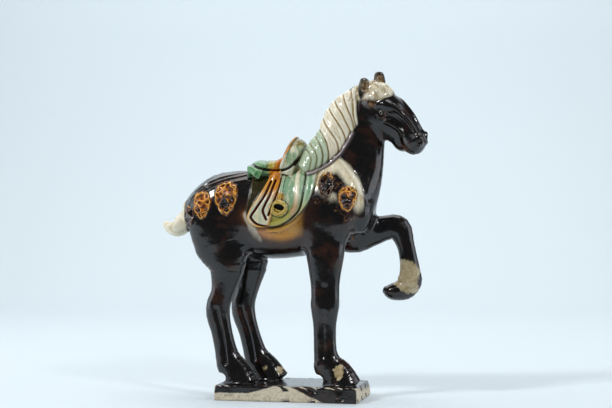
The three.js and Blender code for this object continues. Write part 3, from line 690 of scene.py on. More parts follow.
def flank_relief(points):
    """All that lies on the flanks. Each relief is worked out only where it can reach."""
    x, z = points[:, 0], points[:, 2]
    height = np.zeros(len(points), np.float32)

    def lay(low, high, relief):
        inside = (x > low[0]) & (x < high[0]) & (z > low[1]) & (z < high[1])
        if inside.any():
            height[inside] += relief(x[inside], z[inside])

    lay((-40, 138), (31, 214), cloth_relief)
    lay((-15, 150), (3, 194), stirrup_relief)
    lay((-22, 184), (-4, 200),
        lambda a, b: KNOT_PROUD * bell(np.hypot(a - KNOT_AT[0], b - KNOT_AT[1]), KNOT_ROUND))
    for row in PENDANTS:
        at_x, at_z, wide, tall = row[:4]
        lay((at_x - 1.4 * wide, at_z - 1.2 * tall), (at_x + 1.4 * wide, at_z + 1.2 * tall),
            lambda a, b, row=row: pendant_relief(a, b, row))
    for line in CRUPPER:
        lay((-98, 158), (-34, 198), lambda a, b, line=line: CRUPPER_PROUD * bell(line_gap(a, b, line), 1.0))
    lay((14, 186), (62, 232), lambda a, b: CHEST_STRAP_PROUD * bell(line_gap(a, b, CHEST_STRAP), 1.4))
    lay((42, 160), (78, 210), lambda a, b: COLLAR_PROUD * bell(line_gap(a, b, COLLAR), 1.9))
    return height * smoothstep(4, 10, np.abs(points[:, 1]))


# The plinth, a hand-cut slab, and the whole

class Plinth:
    """A slab cut by hand, uneven along its sides and chipped along its edges."""

    def __init__(self):
        self.half = np.array([PLINTH_LENGTH, PLINTH_WIDTH, PLINTH_THICKNESS], np.float32) / 2
        self.at = np.array([0, 0, -PLINTH_THICKNESS / 2], np.float32)
        self.low, self.high = self.at - self.half - 2, self.at + self.half + 2

    def distance(self, points):
        x, y, z = points.T
        uneven = PLINTH_UNEVEN * (np.sin(x / 17 + y / 23) + np.sin(x / 9 - 1.3) * 0.5 - 1.5)
        rel = np.abs(points - self.at) - self.half + PLINTH_ROUND
        rel[:, :2] -= (0.7 * uneven * smoothstep(-PLINTH_THICKNESS, 0, z))[:, None]
        outside = np.linalg.norm(np.maximum(rel, 0), axis=1)
        gap = outside + np.minimum(rel.max(axis=1), 0) - PLINTH_ROUND
        two = np.sort(rel, axis=1)[:, -2] + PLINTH_ROUND
        chips = np.sin(x / 3.7 + 2 * np.sin(y / 5.1 + z / 4))
        chips = chips * np.sin(x / 7.9 + y / 6.3 + 1.1) * np.sin(z / 2.9 + x / 11)
        return gap + PLINTH_CHIPS * smoothstep(0.15, 0.7, chips) * smoothstep(-3.2, -0.5, two)


def glaze_waver(points):
    """The slight unevenness of hand-finished clay under a thick glaze."""
    x, y, z = points.T
    slow = np.sin(x / 7.1 + 1.7 * np.sin(z / 11)) * np.sin(z / 8.3 + y / 9.7)
    quick = np.sin(x / 2.9 + z / 4.1) * np.sin(y / 3.3 - z / 3.7 + 0.6)
    return 0.16 * slow + 0.05 * quick


def build_horse():
    """The whole field, and the forms that the glazes are measured from."""
    body = Group(body_forms(), relief=lambda points: flank_relief(points) + leg_relief(points))
    head = Group(head_forms(), at=HEAD_AT, turn=HEAD_TURNED, relief=forelock_relief)
    ears = Group(ear(RIGHT) + ear(LEFT))
    mane = mane_form()
    saddle = Group(saddle_forms(), relief=saddle_groove)
    figure = Group([(body, 0), (head, 6), (mane, 2.5), (ears, 2.5), (saddle, 1.6)], relief=glaze_waver)
    return Group([(figure, 0), (Plinth(), 2.5)]), {"ears": ears, "mane": mane, "saddle": saddle}


WHOLE, PARTS = build_horse()


def whole_distance(points, reach=6.0):
    """The finished surface: nothing of the hooves reaches below the plinth's underside."""
    gap = WHOLE.distance(points, reach)
    return np.maximum(gap, -(points[:, 2] + PLINTH_THICKNESS))


# From the field to a mesh

def sample_field(step):
    """The field on a grid, worked out only in the blocks that the surface may cross."""
    low = GRID_LOW
    blocks = np.ceil((GRID_HIGH - low) / (step * BLOCK)).astype(int)
    axes = [low[a] + step * (BLOCK * np.arange(blocks[a]) + (BLOCK - 1) / 2) for a in range(3)]
    centres = np.stack(np.meshgrid(*axes, indexing="ij"), axis=-1).reshape(-1, 3).astype(np.float32)
    reach = step * BLOCK
    rough = whole_distance(centres, reach=3 * reach)
    live = np.abs(rough) < 1.1 * reach + FIELD_SLACK
    field = np.repeat(np.repeat(np.repeat(rough.reshape(blocks), BLOCK, 0), BLOCK, 1), BLOCK, 2)
    inner = np.stack(np.meshgrid(*[np.arange(BLOCK)] * 3, indexing="ij"), axis=-1).reshape(-1, 3)
    corners = np.stack(np.unravel_index(np.flatnonzero(live), blocks), axis=-1) * BLOCK
    for start in range(0, len(corners), BLOCKS_AT_ONCE):
        places = (corners[start:start + BLOCKS_AT_ONCE, None] + inner[None]).reshape(-1, 3)
        values = whole_distance((low + step * places).astype(np.float32))
        field[places[:, 0], places[:, 1], places[:, 2]] = values
    return field, low


def skin(field, low, step):
    """Surface nets: a vertex in each cell that the surface crosses, a quad across each crossed edge."""
    inside = field < 0
    cells = tuple(n - 1 for n in field.shape)
    count = np.zeros(cells, np.uint8)
    corners = [(a, b, c) for a in (0, 1) for b in (0, 1) for c in (0, 1)]
    for a, b, c in corners:
        count += inside[a:a + cells[0], b:b + cells[1], c:c + cells[2]]
    crossed = np.flatnonzero((count > 0) & (count < 8))
    number = np.full(cells, -1, np.int32)
    number.ravel()[crossed] = np.arange(len(crossed))
    place = np.stack(np.unravel_index(crossed, cells), axis=-1)
    total, hits = np.zeros((len(place), 3)), np.zeros(len(place))
    for start in corners:
        for axis in range(3):
            if start[axis]:
                continue
            end = tuple(v + (n == axis) for n, v in enumerate(start))
            va = field[tuple((place + start).T)]
            vb = field[tuple((place + end).T)]
            cross = (va < 0) != (vb < 0)
            f = np.where(cross, va / np.where(cross, va - vb, 1), 0)
            spot = np.array(start) + f[:, None] * (np.array(end) - np.array(start))
            total += np.where(cross[:, None], spot, 0)
            hits += cross
    vertices = low + step * (place + total / hits[:, None])
    quads = []
    for axis in range(3):
        near = [slice(1, -1)] * 3
        far = [slice(1, -1)] * 3
        near[axis], far[axis] = slice(0, -1), slice(1, None)
        first, second = inside[tuple(near)], inside[tuple(far)]
        at = np.stack(np.nonzero(first != second), axis=-1)
        flip = first[tuple(at.T)]
        at += [0 if a == axis else 1 for a in range(3)]
        u, v = [a for a in range(3) if a != axis]
        ring = []
        for du, dv in ((1, 1), (0, 1), (0, 0), (1, 0)):
            cell = at.copy()
            cell[:, u] -= du
            cell[:, v] -= dv
            ring.append(number[tuple(cell.T)])
        quad = np.stack(ring, axis=-1)
        turn = flip if axis != 1 else ~flip
        quad[~turn] = quad[~turn][:, ::-1]
        quads.append(quad)
    return vertices, np.concatenate(quads)


def new_mesh(name, vertices, faces):
    """A mesh of faces that all have as many corners."""
    mesh = bpy.data.meshes.new(name)
    mesh.vertices.add(len(vertices))
    mesh.vertices.foreach_set("co", np.asarray(vertices, np.float32).ravel())
    mesh.loops.add(faces.size)
    mesh.loops.foreach_set("vertex_index", faces.astype(np.int32).ravel())
    mesh.polygons.add(len(faces))
    mesh.polygons.foreach_set("loop_start", np.arange(0, faces.size, faces.shape[1], dtype=np.int32))
    mesh.update(calc_edges=True)
    return mesh


def thinned(mesh, most):
    """Collapsed to at most so many triangles, which leaves them where the relief is."""
    source = bpy.data.objects.new("thinning", mesh)
    bpy.context.scene.collection.objects.link(source)
    collapse = source.modifiers.new("fewer triangles", "DECIMATE")
    collapse.ratio = min(1.0, most / (2 * len(mesh.polygons)))
    collapse.use_collapse_triangulate = True
    evaluated = source.evaluated_get(bpy.context.evaluated_depsgraph_get())
    result = bpy.data.meshes.new_from_object(evaluated)
    bpy.data.objects.remove(source)
    bpy.data.meshes.remove(mesh)
    return result


def slopes(points, reach):
    """The field's gradient, and how far the surface bulges (above 0) or dips (below 0) there."""
    gradient = np.zeros((len(points), 3))
    bulge = np.zeros(len(points))
    for axis in range(3):
        shift = np.zeros(3, np.float32)
        shift[axis] = reach
        ahead, behind = whole_distance(points + shift), whole_distance(points - shift)
        gradient[:, axis] = (ahead - behind) / (2 * reach)
        bulge += (ahead + behind) / 6
    return gradient, bulge


def horse_mesh():
    """The skin, thinned, set back on the field, and given its slopes and the maps that the glaze follows."""
    field, low = sample_field(STEP)
    vertices, quads = skin(field, low, STEP)
    mesh = thinned(new_mesh("tomb_horse_glazed", vertices, quads), MOST_TRIANGLES)
    points = np.empty(3 * len(mesh.vertices), np.float32)
    mesh.vertices.foreach_get("co", points)
    points = points.reshape(-1, 3)
    gradient, _ = slopes(points, NEAR_REACH)
    steep = np.maximum((gradient ** 2).sum(axis=1), 0.3)
    pull = np.clip(whole_distance(points) / steep, -MOST_PULL, MOST_PULL)
    points = (points - pull[:, None] * gradient).astype(np.float32)
    gradient, ridge = slopes(points, NEAR_REACH)
    _, swell = slopes(points, FAR_REACH)
    lift = np.array([0, 0, PLINTH_THICKNESS])
    mesh.vertices.foreach_set("co", ((points + lift) * UNIT).astype(np.float32).ravel())
    mesh.update()
    normals = gradient / np.maximum(np.linalg.norm(gradient, axis=1), 1e-6)[:, None]
    mesh.shade_smooth()
    mesh.normals_split_custom_set_from_vertices(normals.tolist())
    maps = {"ridge": RIDGE_GAIN * ridge, "swell": swell, **glaze_maps(points)}
    for name, values in maps.items():
        mesh.attributes.new(name, "FLOAT", "POINT").data.foreach_set("value", values.astype(np.float32))
    return mesh


# Where each glaze lies: distances in mm to the edge of its area, negative inside it.

BREAST = curve([
    [23, 190], [31, 196.5], [39.1, 201.5], [47, 204.5], [57.3, 194.4], [64.5, 184.3], [68, 172], [68.5, 158],
    [63, 148], [53, 143], [50, 153], [44, 155], [40, 158], [34.5, 168], [28, 162], [24, 172],
], 60, closed=True)
BELLY = curve([
    [-36, 162], [-43, 156], [-40, 146], [-32, 138.5], [-22, 130.5], [-5, 127.5], [12, 131.5], [17.5, 136],
    [19, 150], [22, 168], [10, 175], [-15, 170],
], 50, closed=True)
# The line of a painted highlight: a pale streak down the belly's back edge.
HIGHLIGHT_STREAK = curve([[-36, 154], [-33.4, 145.5], [-30.4, 138], [-27, 131]], 10)
DAB_AT = (-5.0, 169.5)
# Where the glaze stopped short: the raised hoof, less its tip and its front, and a patch on each hoof that
# stands on the plinth.
BARE_HOOF = Ball((103, 17, 97), (14, 14, 18))
GLAZED_TIPS = [Ball((84, 17, 82), (13, 14, 6)), Ball((118, 17, 92), (5, 14, 11))]
BARE_SPOTS = [
    Ball((-30, 20, 11), (5.5, 12, 7)),
    Ball((-16.5, 20, 8.5), (4.5, 12, 4.5)),
    Ball((47.5, -24, 12), (5, 6, 7.5)),
]
TEMPLE = Ball((4.5, 0, 15.5), (7, 30, 5))
TAIL_ROOT = -100.5
FAR = 99.0
GREEN_MANE = curve([[0, 200], [6, 224], [19, 236], [26.5, 231.5], [33.3, 222.5], [36.4, 214], [37.2, 204],
                    [33, 194], [14, 192]], 40, closed=True)


def pendant_amber(x, z):
    """How far the amber shows on the pendants: on the curls from some height up, and round the rim."""
    amber = np.zeros(len(x))
    for row in PENDANTS:
        rho, v = pendant_places(x, z, row)
        above = smoothstep(row[4] - 0.25, row[4] + 0.3, v + 0.25 * np.sin(0.8 * x))
        rim = 0.8 * smoothstep(0.58, 0.76, rho) * smoothstep(0.95, 0.2, row[4])
        cords = smoothstep(0.04, 0.26, curls(x, z, row))
        amber = np.maximum(amber, np.where(rho < 1.15, np.maximum(above * (0.35 + 0.65 * cords), rim), 0))
    return amber


def glaze_maps(points):
    """What the glaze follows at each vertex."""
    x, y, z = points.T
    head = ((points - HEAD_AT) @ HEAD_TURNED).astype(np.float32)
    everywhere = np.full(len(points), FAR)

    def near(form, reach=12.0):
        gap = everywhere.copy()
        inside = ((points > form.low - reach) & (points < form.high + reach)).all(axis=1)
        gap[inside] = form.distance(points[inside])
        return gap

    hx, hy, hz = head.T
    on_head = np.where((hx > -14) & (z > 215), 0, FAR)
    ears = near(PARTS["ears"]) - 0.6
    forelock = np.maximum(forelock_edge(head) + on_head, -ears)
    temple = TEMPLE.distance(head) + np.where(np.abs(hy) > 5, 0, 9)
    tail = np.where(z > 130, x - TAIL_ROOT, FAR)
    pendants = np.min([(pendant_places(x, z, row)[0] - 1) * row[2] for row in PENDANTS], axis=0)
    hoof = np.max([BARE_HOOF.distance(points), *(-tip.distance(points) for tip in GLAZED_TIPS)], axis=0)
    spots = np.min([spot.distance(points) for spot in BARE_SPOTS], axis=0)
    ring, slot = stirrup_places(x, z)
    eye = np.hypot(hx - EYE_AT[0], hz - EYE_AT[2]) + np.where((np.abs(hy) > 8) & (on_head == 0), 0, 30)
    return {
        "mane": np.maximum(np.maximum(near(PARTS["mane"]) - 0.5, -ears), outline_gap(x, z, MANE_AREA)),
        "ear_dish": np.minimum(*(near(PARTS["ears"].forms[n][0]) for n in (1, 3))),
        "forelock": forelock,
        "temple": temple,
        "tail": tail,
        "saddle": near(PARTS["saddle"]) - 0.6,
        "groove": line_gap(x, z, SADDLE_GROOVE) + np.where(np.abs(y) > 5, 0, 9),
        "locks": mane_gap(x, z),
        "cloth": outline_gap(x, z, CLOTH),
        "blanket": outline_gap(x, z, BLANKET),
        "fan": outline_gap(x, z, FAN),
        "pleat": pleat_gap(x, z),
        "belly": outline_gap(x, z, BELLY),
        "highlight_streak": line_gap(x, z, HIGHLIGHT_STREAK),
        "breast": outline_gap(x, z, BREAST),
        "green_mane": outline_gap(x, z, GREEN_MANE),
        "pendant": pendants,
        "amber": pendant_amber(x, z),
        "cut": line_gap(x, z, CLOTH_LINE),
        "stripe": line_gap(x, z, STRIPE),
        "dab": np.hypot(x - DAB_AT[0], (z - DAB_AT[1]) / 1.5),
        "stirrup": ring,
        "slot": slot,
        "knot": np.hypot(x - KNOT_AT[0], z - KNOT_AT[1]),
        "strap": line_gap(x, z, CHEST_STRAP),
        "hoof": hoof,
        "spots": spots,
        "eye": eye,
    }


# Glaze and clay

MM = 0.001

# Each glaze, from its deep pools to the thin film that it leaves on a ridge.
GLAZES = {
    "black": [(0.0, "#040304"), (0.42, "#0a0808"), (0.66, "#150d0a"), (0.8, "#3a2014"), (1.0, "#75543e")],
    "brown": [(0.0, "#0c0606"), (0.45, "#2c1710"), (0.7, "#4c2c1d"), (1.0, "#8e6a52")],
    "cream": [(0.0, "#94764a"), (0.28, "#d4c090"), (0.5, "#f6edd2"), (1.0, "#fdf9ec")],
    "green": [(0.0, "#143a1e"), (0.3, "#3c7048"), (0.55, "#6b9c6a"), (1.0, "#aacb9c")],
    "sea": [(0.0, "#2b5436"), (0.3, "#64916a"), (0.52, "#94b592"), (1.0, "#d3dec6")],
    "amber": [(0.0, "#2e1002"), (0.3, "#8a4205"), (0.52, "#c8760c"), (1.0, "#eaac3e")],
    "gold": [(0.0, "#1c0803"), (0.22, "#6e2f06"), (0.40, "#b8640a"), (0.7, "#dc8c18"), (1.0, "#f2b84c")],
    "heart": [(0.0, "#050304"), (0.5, "#150908"), (0.74, "#34170d"), (1.0, "#76523f")],
    "olive": [(0.0, "#2e2804"), (0.3, "#7c7012"), (0.52, "#b4a232"), (1.0, "#dacb72")],
    "peach": [(0.0, "#7a4a24"), (0.4, "#b07a48"), (0.65, "#c8a078"), (1.0, "#e0ccae")],
}
# What moves the glazes about: size in mm, detail, and how far it is drawn out downwards as the glaze ran.
# The clay's own grit is finer than a pixel and is drawn as coarse as it needs to show.
PATTERNS = {
    "runs": (9.0, 4, 0.28),
    "streaks": (5.0, 3, 0.16),
    "blotch": (16.0, 3, 1.0),
    "fray": (5.0, 4, 1.0),
    "mottle": (2.6, 5, 1.0),
    "clay": (1.6, 6, 1.0),
    "grit": (1.4, 5, 1.0),
}
CLAY = [(0.24, "#a3927a"), (0.42, "#c9bca4"), (0.58, "#d8ccb5"), (0.78, "#e4dccb")]
# How high the bare clay reaches on the plinth's near face, as shares of ARCH_TALL, from ARCH_FROM to ARCH_TO.
ARCH = [(0.0, 0.456), (0.3, 0.479), (0.62, 0.939), (0.82, 0.434), (0.96, 0.117), (1.0, 0.0)]
ARCH_FROM, ARCH_TO, ARCH_LOW, ARCH_TALL = -66.0, 40.0, -0.8, 19.8
GLAZE_ROUGH = (0.11, 0.26)  # glassy, dulled a little by age
CLAY_ROUGH = 0.85
GLAZE_IOR = 1.6  # lead glass


def linear(hex_colour):
    """An sRGB hex colour as linear RGBA."""
    channels = [int(hex_colour[i:i + 2], 16) / 255 for i in (1, 3, 5)]
    return (*[c / 12.92 if c <= 0.04045 else ((c + 0.055) / 1.055) ** 2.4 for c in channels], 1.0)


def add(tree, kind, links=None, stops=(), **settings):
    """Adds a node with its settings, its sockets' values or links, and a ramp's stops: hex colours or
    bare numbers."""
    node = tree.nodes.new(kind)
    for name, value in settings.items():
        setattr(node, name, value)
    for socket, value in (links or {}).items():
        if isinstance(value, bpy.types.NodeSocket):
            tree.links.new(value, node.inputs[socket])
        else:
            node.inputs[socket].default_value = value
    for n, (place, tone) in enumerate(stops):
        element = node.color_ramp.elements[n] if n < 2 else node.color_ramp.elements.new(place)
        element.position = place
        element.color = linear(tone) if isinstance(tone, str) else (tone, tone, tone, 1.0)
    return node


def lead_glaze(mesh):
    """Lead glazes over buff earthenware, poured and dabbed on and fired once. To the eye they are glassy,
    with sharp reflections: thin and pale over ridges, deep and dark in hollows, run down into each other,
    and broken by matt, pale clay where none was brushed."""
    material = bpy.data.materials.new("lead glaze over fired clay")
    material.use_nodes = True
    tree = material.node_tree
    tree.nodes.clear()

    # Places in mm, the distances that the mesh carries, and the patterns.
    place = add(tree, "ShaderNodeTexCoord").outputs["Object"]
    links = {0: place, "Scale": 1 / MM}
    in_mm = add(tree, "ShaderNodeVectorMath", links, operation="SCALE").outputs["Vector"]
    point = add(tree, "ShaderNodeSeparateXYZ", {"Vector": in_mm})
    along_x, out_y, height = (point.outputs[axis] for axis in "XYZ")
    near = {
        carried.name: add(tree, "ShaderNodeAttribute", attribute_name=carried.name).outputs["Fac"]
        for carried in mesh.attributes if carried.data_type == "FLOAT"
    }
    pattern = {}
    for name, (size, detail, drawn_out) in PATTERNS.items():
        links = {"Vector": in_mm, "Scale": (1, 1, drawn_out)}
        drawn = add(tree, "ShaderNodeMapping", links).outputs["Vector"]
        links = {"Vector": drawn, "Scale": 1 / size, "Detail": detail, "Roughness": 0.55}
        pattern[name] = add(tree, "ShaderNodeTexNoise", links).outputs["Fac"]
    runs, streaks, blotch, fray, mottle, clay, grit = pattern.values()

    def where(*fades):
        """How far a coat covers: a share, or fades that act together. A fade has what it follows, alone or
        with patterns that carry it about and how far; the values at which the coat is gone and full; the
        shares there."""
        cover = None
        for fade in fades:
            if isinstance(fade, tuple):
                follows, gone, full, *shares = fade
                value, *carriers = follows if isinstance(follows, tuple) else (follows,)
                for carrier, reach in carriers:
                    links = {0: carrier, 1: reach, 2: value}
                    value = add(tree, "ShaderNodeMath", links, operation="MULTIPLY_ADD").outputs[0]
                least, most = shares or (0.0, 1.0)
                links = {"Value": value, "From Min": gone, "From Max": full, "To Min": least, "To Max": most}
                smooth = add(tree, "ShaderNodeMapRange", links, interpolation_type="SMOOTHSTEP")
                fade = smooth.outputs["Result"]
            if cover is None:
                cover = fade
            else:
                cover = add(tree, "ShaderNodeMath", {0: cover, 1: fade}, operation="MULTIPLY").outputs[0]
        return cover

    def coats(colour, *laid):
        """A glaze with others laid over it in turn, each with where it lies."""
        for glaze, *fades in laid:
            links = {0: where(*fades), 6: colour, 7: glaze}
            colour = add(tree, "ShaderNodeMix", links, data_type="RGBA").outputs[2]
        return colour

    def inside(name, soft, waver, grow=0.0, carrier=runs):
        """The fade at the edge of a glaze's area, which a pattern carries about."""
        return (near[name], (carrier, -waver)), grow + soft - waver / 2, grow - soft - waver / 2

    # How thin the glaze lies, from 0 in a pool to 1 on a ridge.
    thin = near["ridge"]
    for follows, share in ((mottle, 0.45), (near["swell"], 0.55)):
        links = {0: follows, 1: share, 2: thin}
        thin = add(tree, "ShaderNodeMath", links, operation="MULTIPLY_ADD").outputs[0]
    links = {"Value": thin, "From Min": -0.7, "From Max": 1.3}
    film = add(tree, "ShaderNodeMapRange", links).outputs["Result"]
    black, brown, cream, green, sea, amber, gold, heart, olive, peach = (
        add(tree, "ShaderNodeValToRGB", {"Fac": film}, stops=stops).outputs["Color"]
        for stops in GLAZES.values()
    )
    falling = (height, (runs, -20.0))

    # The hide burned brown in patches.
    hide = coats(black, (brown, (blotch, 0.50, 0.66, 0.0, 0.9)))

    # Cloth: sea green with a pale stripe down its middle and a cut line painted dark as its shade, running to
    # olive and amber at the hem.
    cloth = coats(
        sea,
        (cream, (streaks, 0.50, 0.66, 0.0, 0.5)),
        (coats(olive, (sea, 0.15)), (falling, 178, 150)),
        (coats(olive, (amber, 0.55)), (along_x, 9, 16), (falling, 170, 152)),
        (coats(cream, (peach, (falling, 182, 166))), (near["stripe"], 3.0, 1.5, 0.0, 0.85)),
        (coats(olive, (amber, 0.5)), (near["dab"], 5.0, 2.0)),
        # Painted shade: the cut line darkened as the shadow along its raised edge, more so lower down.
        (linear("#2e1c0a"), (near["cut"], 1.7, 0.5), (falling, 186, 152, 0.45, 0.95)),
        (linear("#3b3a14"), (near["cloth"], -1.4, 0.0, 0.0, 0.6)),
    )

    # Below the cloth the glazes have run together: salmon behind, tan and amber under the hem, dark at the
    # elbow; and a painted highlight, a pale broken streak, down the back edge.
    belly = coats(
        olive,
        (gold, 0.55),
        (peach, 0.2),
        (coats(olive, (gold, 0.75)), (falling, 146, 137)),
        (coats(peach, (amber, 0.35)), ((along_x, (blotch, -20.0)), -20, -34)),
        (brown, (along_x, 4, 20, 0.0, 0.8)),
        (linear("#2c130a"), (near["belly"], -7.0, 0.0, 0.0, 0.9)),
        # Painted highlight: a pale broken streak down the back edge.
        (linear("#c9bca6"), (near["highlight_streak"], 4.6, 2.4), (streaks, 0.34, 0.48)),
    )

    # Pleats: amber above, pale between the cuts below.
    pale_pleats = coats(cream, (olive, 0.3), (coats(sea, (cream, 0.4)), (streaks, 0.44, 0.58)))
    fan = coats(
        amber,
        (pale_pleats, (falling, 182, 167)),
        (linear("#551d06"), (near["pleat"], 1.7, 0.8)),
        (amber, (near["fan"], -2.6, -0.8, 0.0, 0.85)),
    )

    # Breast: a cream halo under the mane, with flecked black inside it.
    brown_flecks = coats(brown, (peach, (mottle, 0.45, 0.6, 0.0, 0.6)))
    breast = coats(
        hide,
        (brown_flecks, (fray, 0.52, 0.68, 0.0, 0.6)),
        (cream, ((near["breast"], (blotch, -9.0)), -17.0, -11.5), ((*falling, (along_x, 0.44)), 187, 200)),
    )

    # Saddle: green cantle, olive and amber seat, and a pommel that is amber behind, streaked green before
    # and dark on top.
    lean = (height, (along_x, -1.7))
    seat = coats(green, (olive, (along_x, -22, -17)), (amber, (along_x, -16, -10)))
    pommel = coats(
        green,
        (cream, (streaks, 0.36, 0.56, 0.2, 0.8)),
        (amber, (lean, 225.5, 227.0)),
        (coats(olive, (hide, 0.55)), (height, 228.5, 232.5)),
    )
    saddle = coats(
        seat,
        (pommel, (lean, 232.5, 231.0)),
        (linear("#1c1408"), (near["groove"], 1.9, 0.8, 0.0, 0.9)),
    )

    mane = inside("mane", 0.5, 0.8)
    colour = coats(
        hide,
        (brown, inside("belly", 5.0, 10.0, grow=8.0), 0.6),
        (belly, inside("belly", 5.5, 9.0)),
        (breast, inside("breast", 1.8, 7.0)),
        (coats(hide, (olive, 0.06)), inside("blanket", 1.0, 3.0)),
        (cloth, inside("cloth", 0.7, 1.5)),
        (fan, inside("fan", 0.6, 1.0)),
        (cream, mane),
        (coats(sea, (cream, 0.25)), mane, inside("green_mane", 1.5, 3.0)),
        (linear("#8d7446"), mane, (near["locks"], 1.2, 0.1, 0.0, 0.5)),
        (saddle, inside("saddle", 0.4, 0.6)),
        (coats(cream, (linear("#7d6743"), (streaks, 0.40, 0.62, 0.15, 0.62))), inside("forelock", 1.2, 3.5)),
        (coats(peach, (brown, 0.5)), inside("temple", 2.5, 6.0), (mottle, 0.38, 0.66)),
        (coats(linear("#6b5038"), (linear("#a08a68"), (mottle, 0.42, 0.6))), (near["ear_dish"], 0.9, 0.1)),
        (cream, inside("tail", 0.9, 3.0)),
        (coats(linear("#9c8c66"), (linear("#b8a98a"), (fray, 0.35, 0.6))),
         inside("hoof", 0.8, 5.0, carrier=fray)),
        (coats(linear("#9c8860"), (linear("#c2b08c"), (fray, 0.4, 0.6))),
         inside("spots", 0.7, 8.0, carrier=fray)),
        (amber, (near["knot"], 7.0, 4.5)),
        (coats(coats(olive, (hide, 0.25)), (coats(olive, (amber, 0.5)), (mottle, 0.4, 0.6))),
         (near["stirrup"], 8.3, 6.4)),
        (linear("#0b090a"), (near["slot"], 1.15, 0.85)),
        (coats(heart, (gold, near["amber"])), inside("pendant", 0.6, 1.2)),
        (linear("#4f3d3e"), (near["strap"], 3.4, 1.8, 0.0, 0.75)),
        # Painted highlight: a thin pale line along the top of the strap's ridge; the band round it is the
        # strap's own colour.
        (linear("#b9adae"), (near["strap"], 1.3, 0.4, 0.0, 0.8)),
        (linear("#0a0807"), (near["eye"], 2.6, 2.2)),
        (linear("#8d857b"), (near["eye"], 2.0, 1.7)),
        (linear("#070605"), (near["eye"], 1.25, 1.0)),
    )

    # Bare clay on the plinth: under an arch on the near face, on the end before the raised leg, and at chips.
    way = add(tree, "ShaderNodeMapRange", {"Value": along_x, "From Min": ARCH_FROM, "From Max": ARCH_TO})
    rise = add(tree, "ShaderNodeValToRGB", {"Fac": way.outputs["Result"]}, stops=ARCH).outputs["Color"]
    arch_over = (ARCH_LOW, (rise, ARCH_TALL), (height, -1.0), (runs, -2.5))
    bare = where((arch_over, -0.5, 0.8), (out_y, -33.5, -34.5))
    for patch in (
        where((along_x, 64.8, 65.6), (fray, 0.68, 0.62), (height, 14.0, 13.0)),
        where(((near["swell"], (mottle, 0.5)), 0.62, 0.68), (height, 15, 14), (height, 5, 8),
              (out_y, -31, -33)),
    ):
        bare = add(tree, "ShaderNodeMath", {0: bare, 1: patch}, operation="MAXIMUM").outputs[0]
    clay = add(tree, "ShaderNodeValToRGB", {"Fac": clay}, stops=CLAY).outputs["Color"]
    clay = coats(clay, (linear("#a3886a"), (blotch, 0.5, 0.7, 0.0, 0.45)))
    colour = coats(colour, (clay, bare))

    smooth, dull = GLAZE_ROUGH
    links = {"Value": mottle, "From Min": 0.3, "From Max": 0.75, "To Min": smooth, "To Max": dull}
    rough = add(tree, "ShaderNodeMapRange", links).outputs["Result"]
    rough = add(tree, "ShaderNodeMix", {0: bare, 2: rough, 3: CLAY_ROUGH}, data_type="FLOAT").outputs[0]

    # The glaze lies in slow waves with faint pits, the clay is gritty.
    pits = add(tree, "ShaderNodeMath", {0: mottle, 1: 0.16}, operation="MULTIPLY").outputs[0]
    waves = add(tree, "ShaderNodeMath", {0: blotch, 1: 1.6, 2: pits}, operation="MULTIPLY_ADD").outputs[0]
    grit = add(tree, "ShaderNodeMath", {0: grit, 1: 1.6}, operation="MULTIPLY").outputs[0]
    uneven = add(tree, "ShaderNodeMix", {0: bare, 2: waves, 3: grit}, data_type="FLOAT").outputs[0]
    bump = add(tree, "ShaderNodeBump", {"Height": uneven, "Strength": 0.5, "Distance": 0.5 * MM})
    surface = add(tree, "ShaderNodeBsdfPrincipled", {
        "Base Color": colour, "Roughness": rough, "IOR": GLAZE_IOR, "Normal": bump.outputs["Normal"],
    })
    add(tree, "ShaderNodeOutputMaterial", {"Surface": surface.outputs[0]})
    return material


# The piece

horse = bpy.data.objects.new("tomb_horse_glazed", horse_mesh())
bpy.context.scene.collection.objects.link(horse)
horse.data.materials.append(lead_glaze(horse.data))
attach(horse, "root")
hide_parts(NODE)


# Studio: pale sweep, soft boxes, and a level camera at the photograph's angle

VIEW_AZIMUTH = math.radians(12)
VIEW_DISTANCE = 1.4
VIEW_AIM = Vector((0.0119, 0, 0.1779))
LENS, SENSOR = 89.7, 36

# The sheet's front edge stays close, so the dark glaze doesn't mirror a bright floor before it.
SHEET_NEAR, SHEET_FAR, SHEET_TALL, SHEET_BEND, SHEET_HALF_WIDTH = -0.34, 1.6, 2.2, 0.5, 3
BEND_CUTS = 12
PAPER, PAPER_ROUGH = "#dfe9ee", 0.9
WORLD_COLOUR, WORLD_STRENGTH = "#dbe7ee", 0.12
ON_HORSE = (0, 0, 0.15)
# Azimuth and elevation from the photograph's side, distance, size, power, colour and aim.
LIGHTS = {
    "top box": (170, 80, 1.4, (1.0, 0.7), 6.0, "#ffffff", ON_HORSE),  # sheen along the back and the croup
    "left panel": (-86, 14, 1.5, (1.1, 1.4), 9.0, "#eef5ff", ON_HORSE),  # pale edges down the legs' left
    "right panel": (92, 14, 1.5, (1.1, 1.4), 9.5, "#eef5ff", ON_HORSE),  # and the neck and the legs' right
    "left key": (-40, 40, 1.7, (0.26, 0.26), 12.5, "#ffffff", ON_HORSE),  # small glints on the glaze
    "right key": (46, 34, 1.9, (0.24, 0.24), 7.5, "#ffffff", ON_HORSE),
    "wall light": (12, 55, 1.1, (1.8, 0.5), 6.6, "#fffefa", (0.1, 1.5, 0.55)),
    "floor light": (200, 55, 1.5, (1.8, 0.8), 4.6, "#fbfcff", (0, 0.4, 0)),
}


def background_paper():
    """Matt paper: pale and even to the eye, with no reflection of the piece."""
    paper = bpy.data.materials.new("matt background paper")
    paper.use_nodes = True
    shader = paper.node_tree.nodes["Principled BSDF"]
    shader.inputs["Base Color"].default_value = linear(PAPER)
    shader.inputs["Roughness"].default_value = PAPER_ROUGH
    return paper


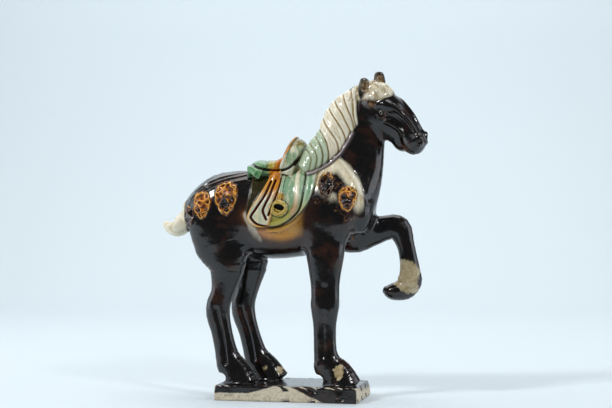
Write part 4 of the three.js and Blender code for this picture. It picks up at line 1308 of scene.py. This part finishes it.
def sweep():
    """Floor and backdrop in one bent sheet."""
    profile = [(SHEET_NEAR, 0.0)]
    for n in range(BEND_CUTS + 1):
        angle = math.pi / 2 * n / BEND_CUTS
        profile.append((SHEET_FAR - SHEET_BEND * (1 - math.sin(angle)), SHEET_BEND * (1 - math.cos(angle))))
    profile.append((SHEET_FAR, SHEET_TALL))
    vertices = [(side * SHEET_HALF_WIDTH, y, z) for y, z in profile for side in (-1, 1)]
    faces = [(2 * n, 2 * n + 1, 2 * n + 3, 2 * n + 2) for n in range(len(profile) - 1)]
    mesh = bpy.data.meshes.new("sweep")
    mesh.from_pydata(vertices, [], faces)
    mesh.shade_smooth()
    mesh.materials.append(background_paper())
    sheet = bpy.data.objects.new("sweep", mesh)
    sheet.rotation_euler.z = VIEW_AZIMUTH
    bpy.context.scene.collection.objects.link(sheet)


def soft_box(name, azimuth, elevation, distance, size, power, colour, aim):
    light = bpy.data.lights.new(name, "AREA")
    light.shape = "RECTANGLE"
    light.size, light.size_y = size
    light.energy = power
    light.color = linear(colour)[:3]
    box = bpy.data.objects.new(name, light)
    a, e = math.radians(azimuth), math.radians(elevation)
    way = Vector((math.sin(a) * math.cos(e), -math.cos(a) * math.cos(e), math.sin(e)))
    box.location = Vector(aim) + way * distance
    box.rotation_euler = way.to_track_quat("Z", "Y").to_euler()
    bpy.context.scene.collection.objects.link(box)


def studio():
    sweep()
    for name, setting in LIGHTS.items():
        soft_box(name, *setting)
    world = bpy.data.worlds.new("studio")
    world.use_nodes = True
    backdrop = world.node_tree.nodes["Background"]
    backdrop.inputs["Color"].default_value = linear(WORLD_COLOUR)
    backdrop.inputs["Strength"].default_value = WORLD_STRENGTH
    bpy.context.scene.world = world
    bpy.context.scene.view_settings.view_transform = "Standard"

    camera = bpy.data.objects.new("camera", bpy.data.cameras.new("camera"))
    camera.data.lens = LENS
    camera.data.sensor_width = SENSOR
    way = Vector((math.sin(VIEW_AZIMUTH), -math.cos(VIEW_AZIMUTH), 0))
    camera.location = VIEW_AIM + way * VIEW_DISTANCE
    camera.rotation_euler = (math.pi / 2, 0, VIEW_AZIMUTH)
    bpy.context.scene.collection.objects.link(camera)
    bpy.context.scene.camera = camera


studio()
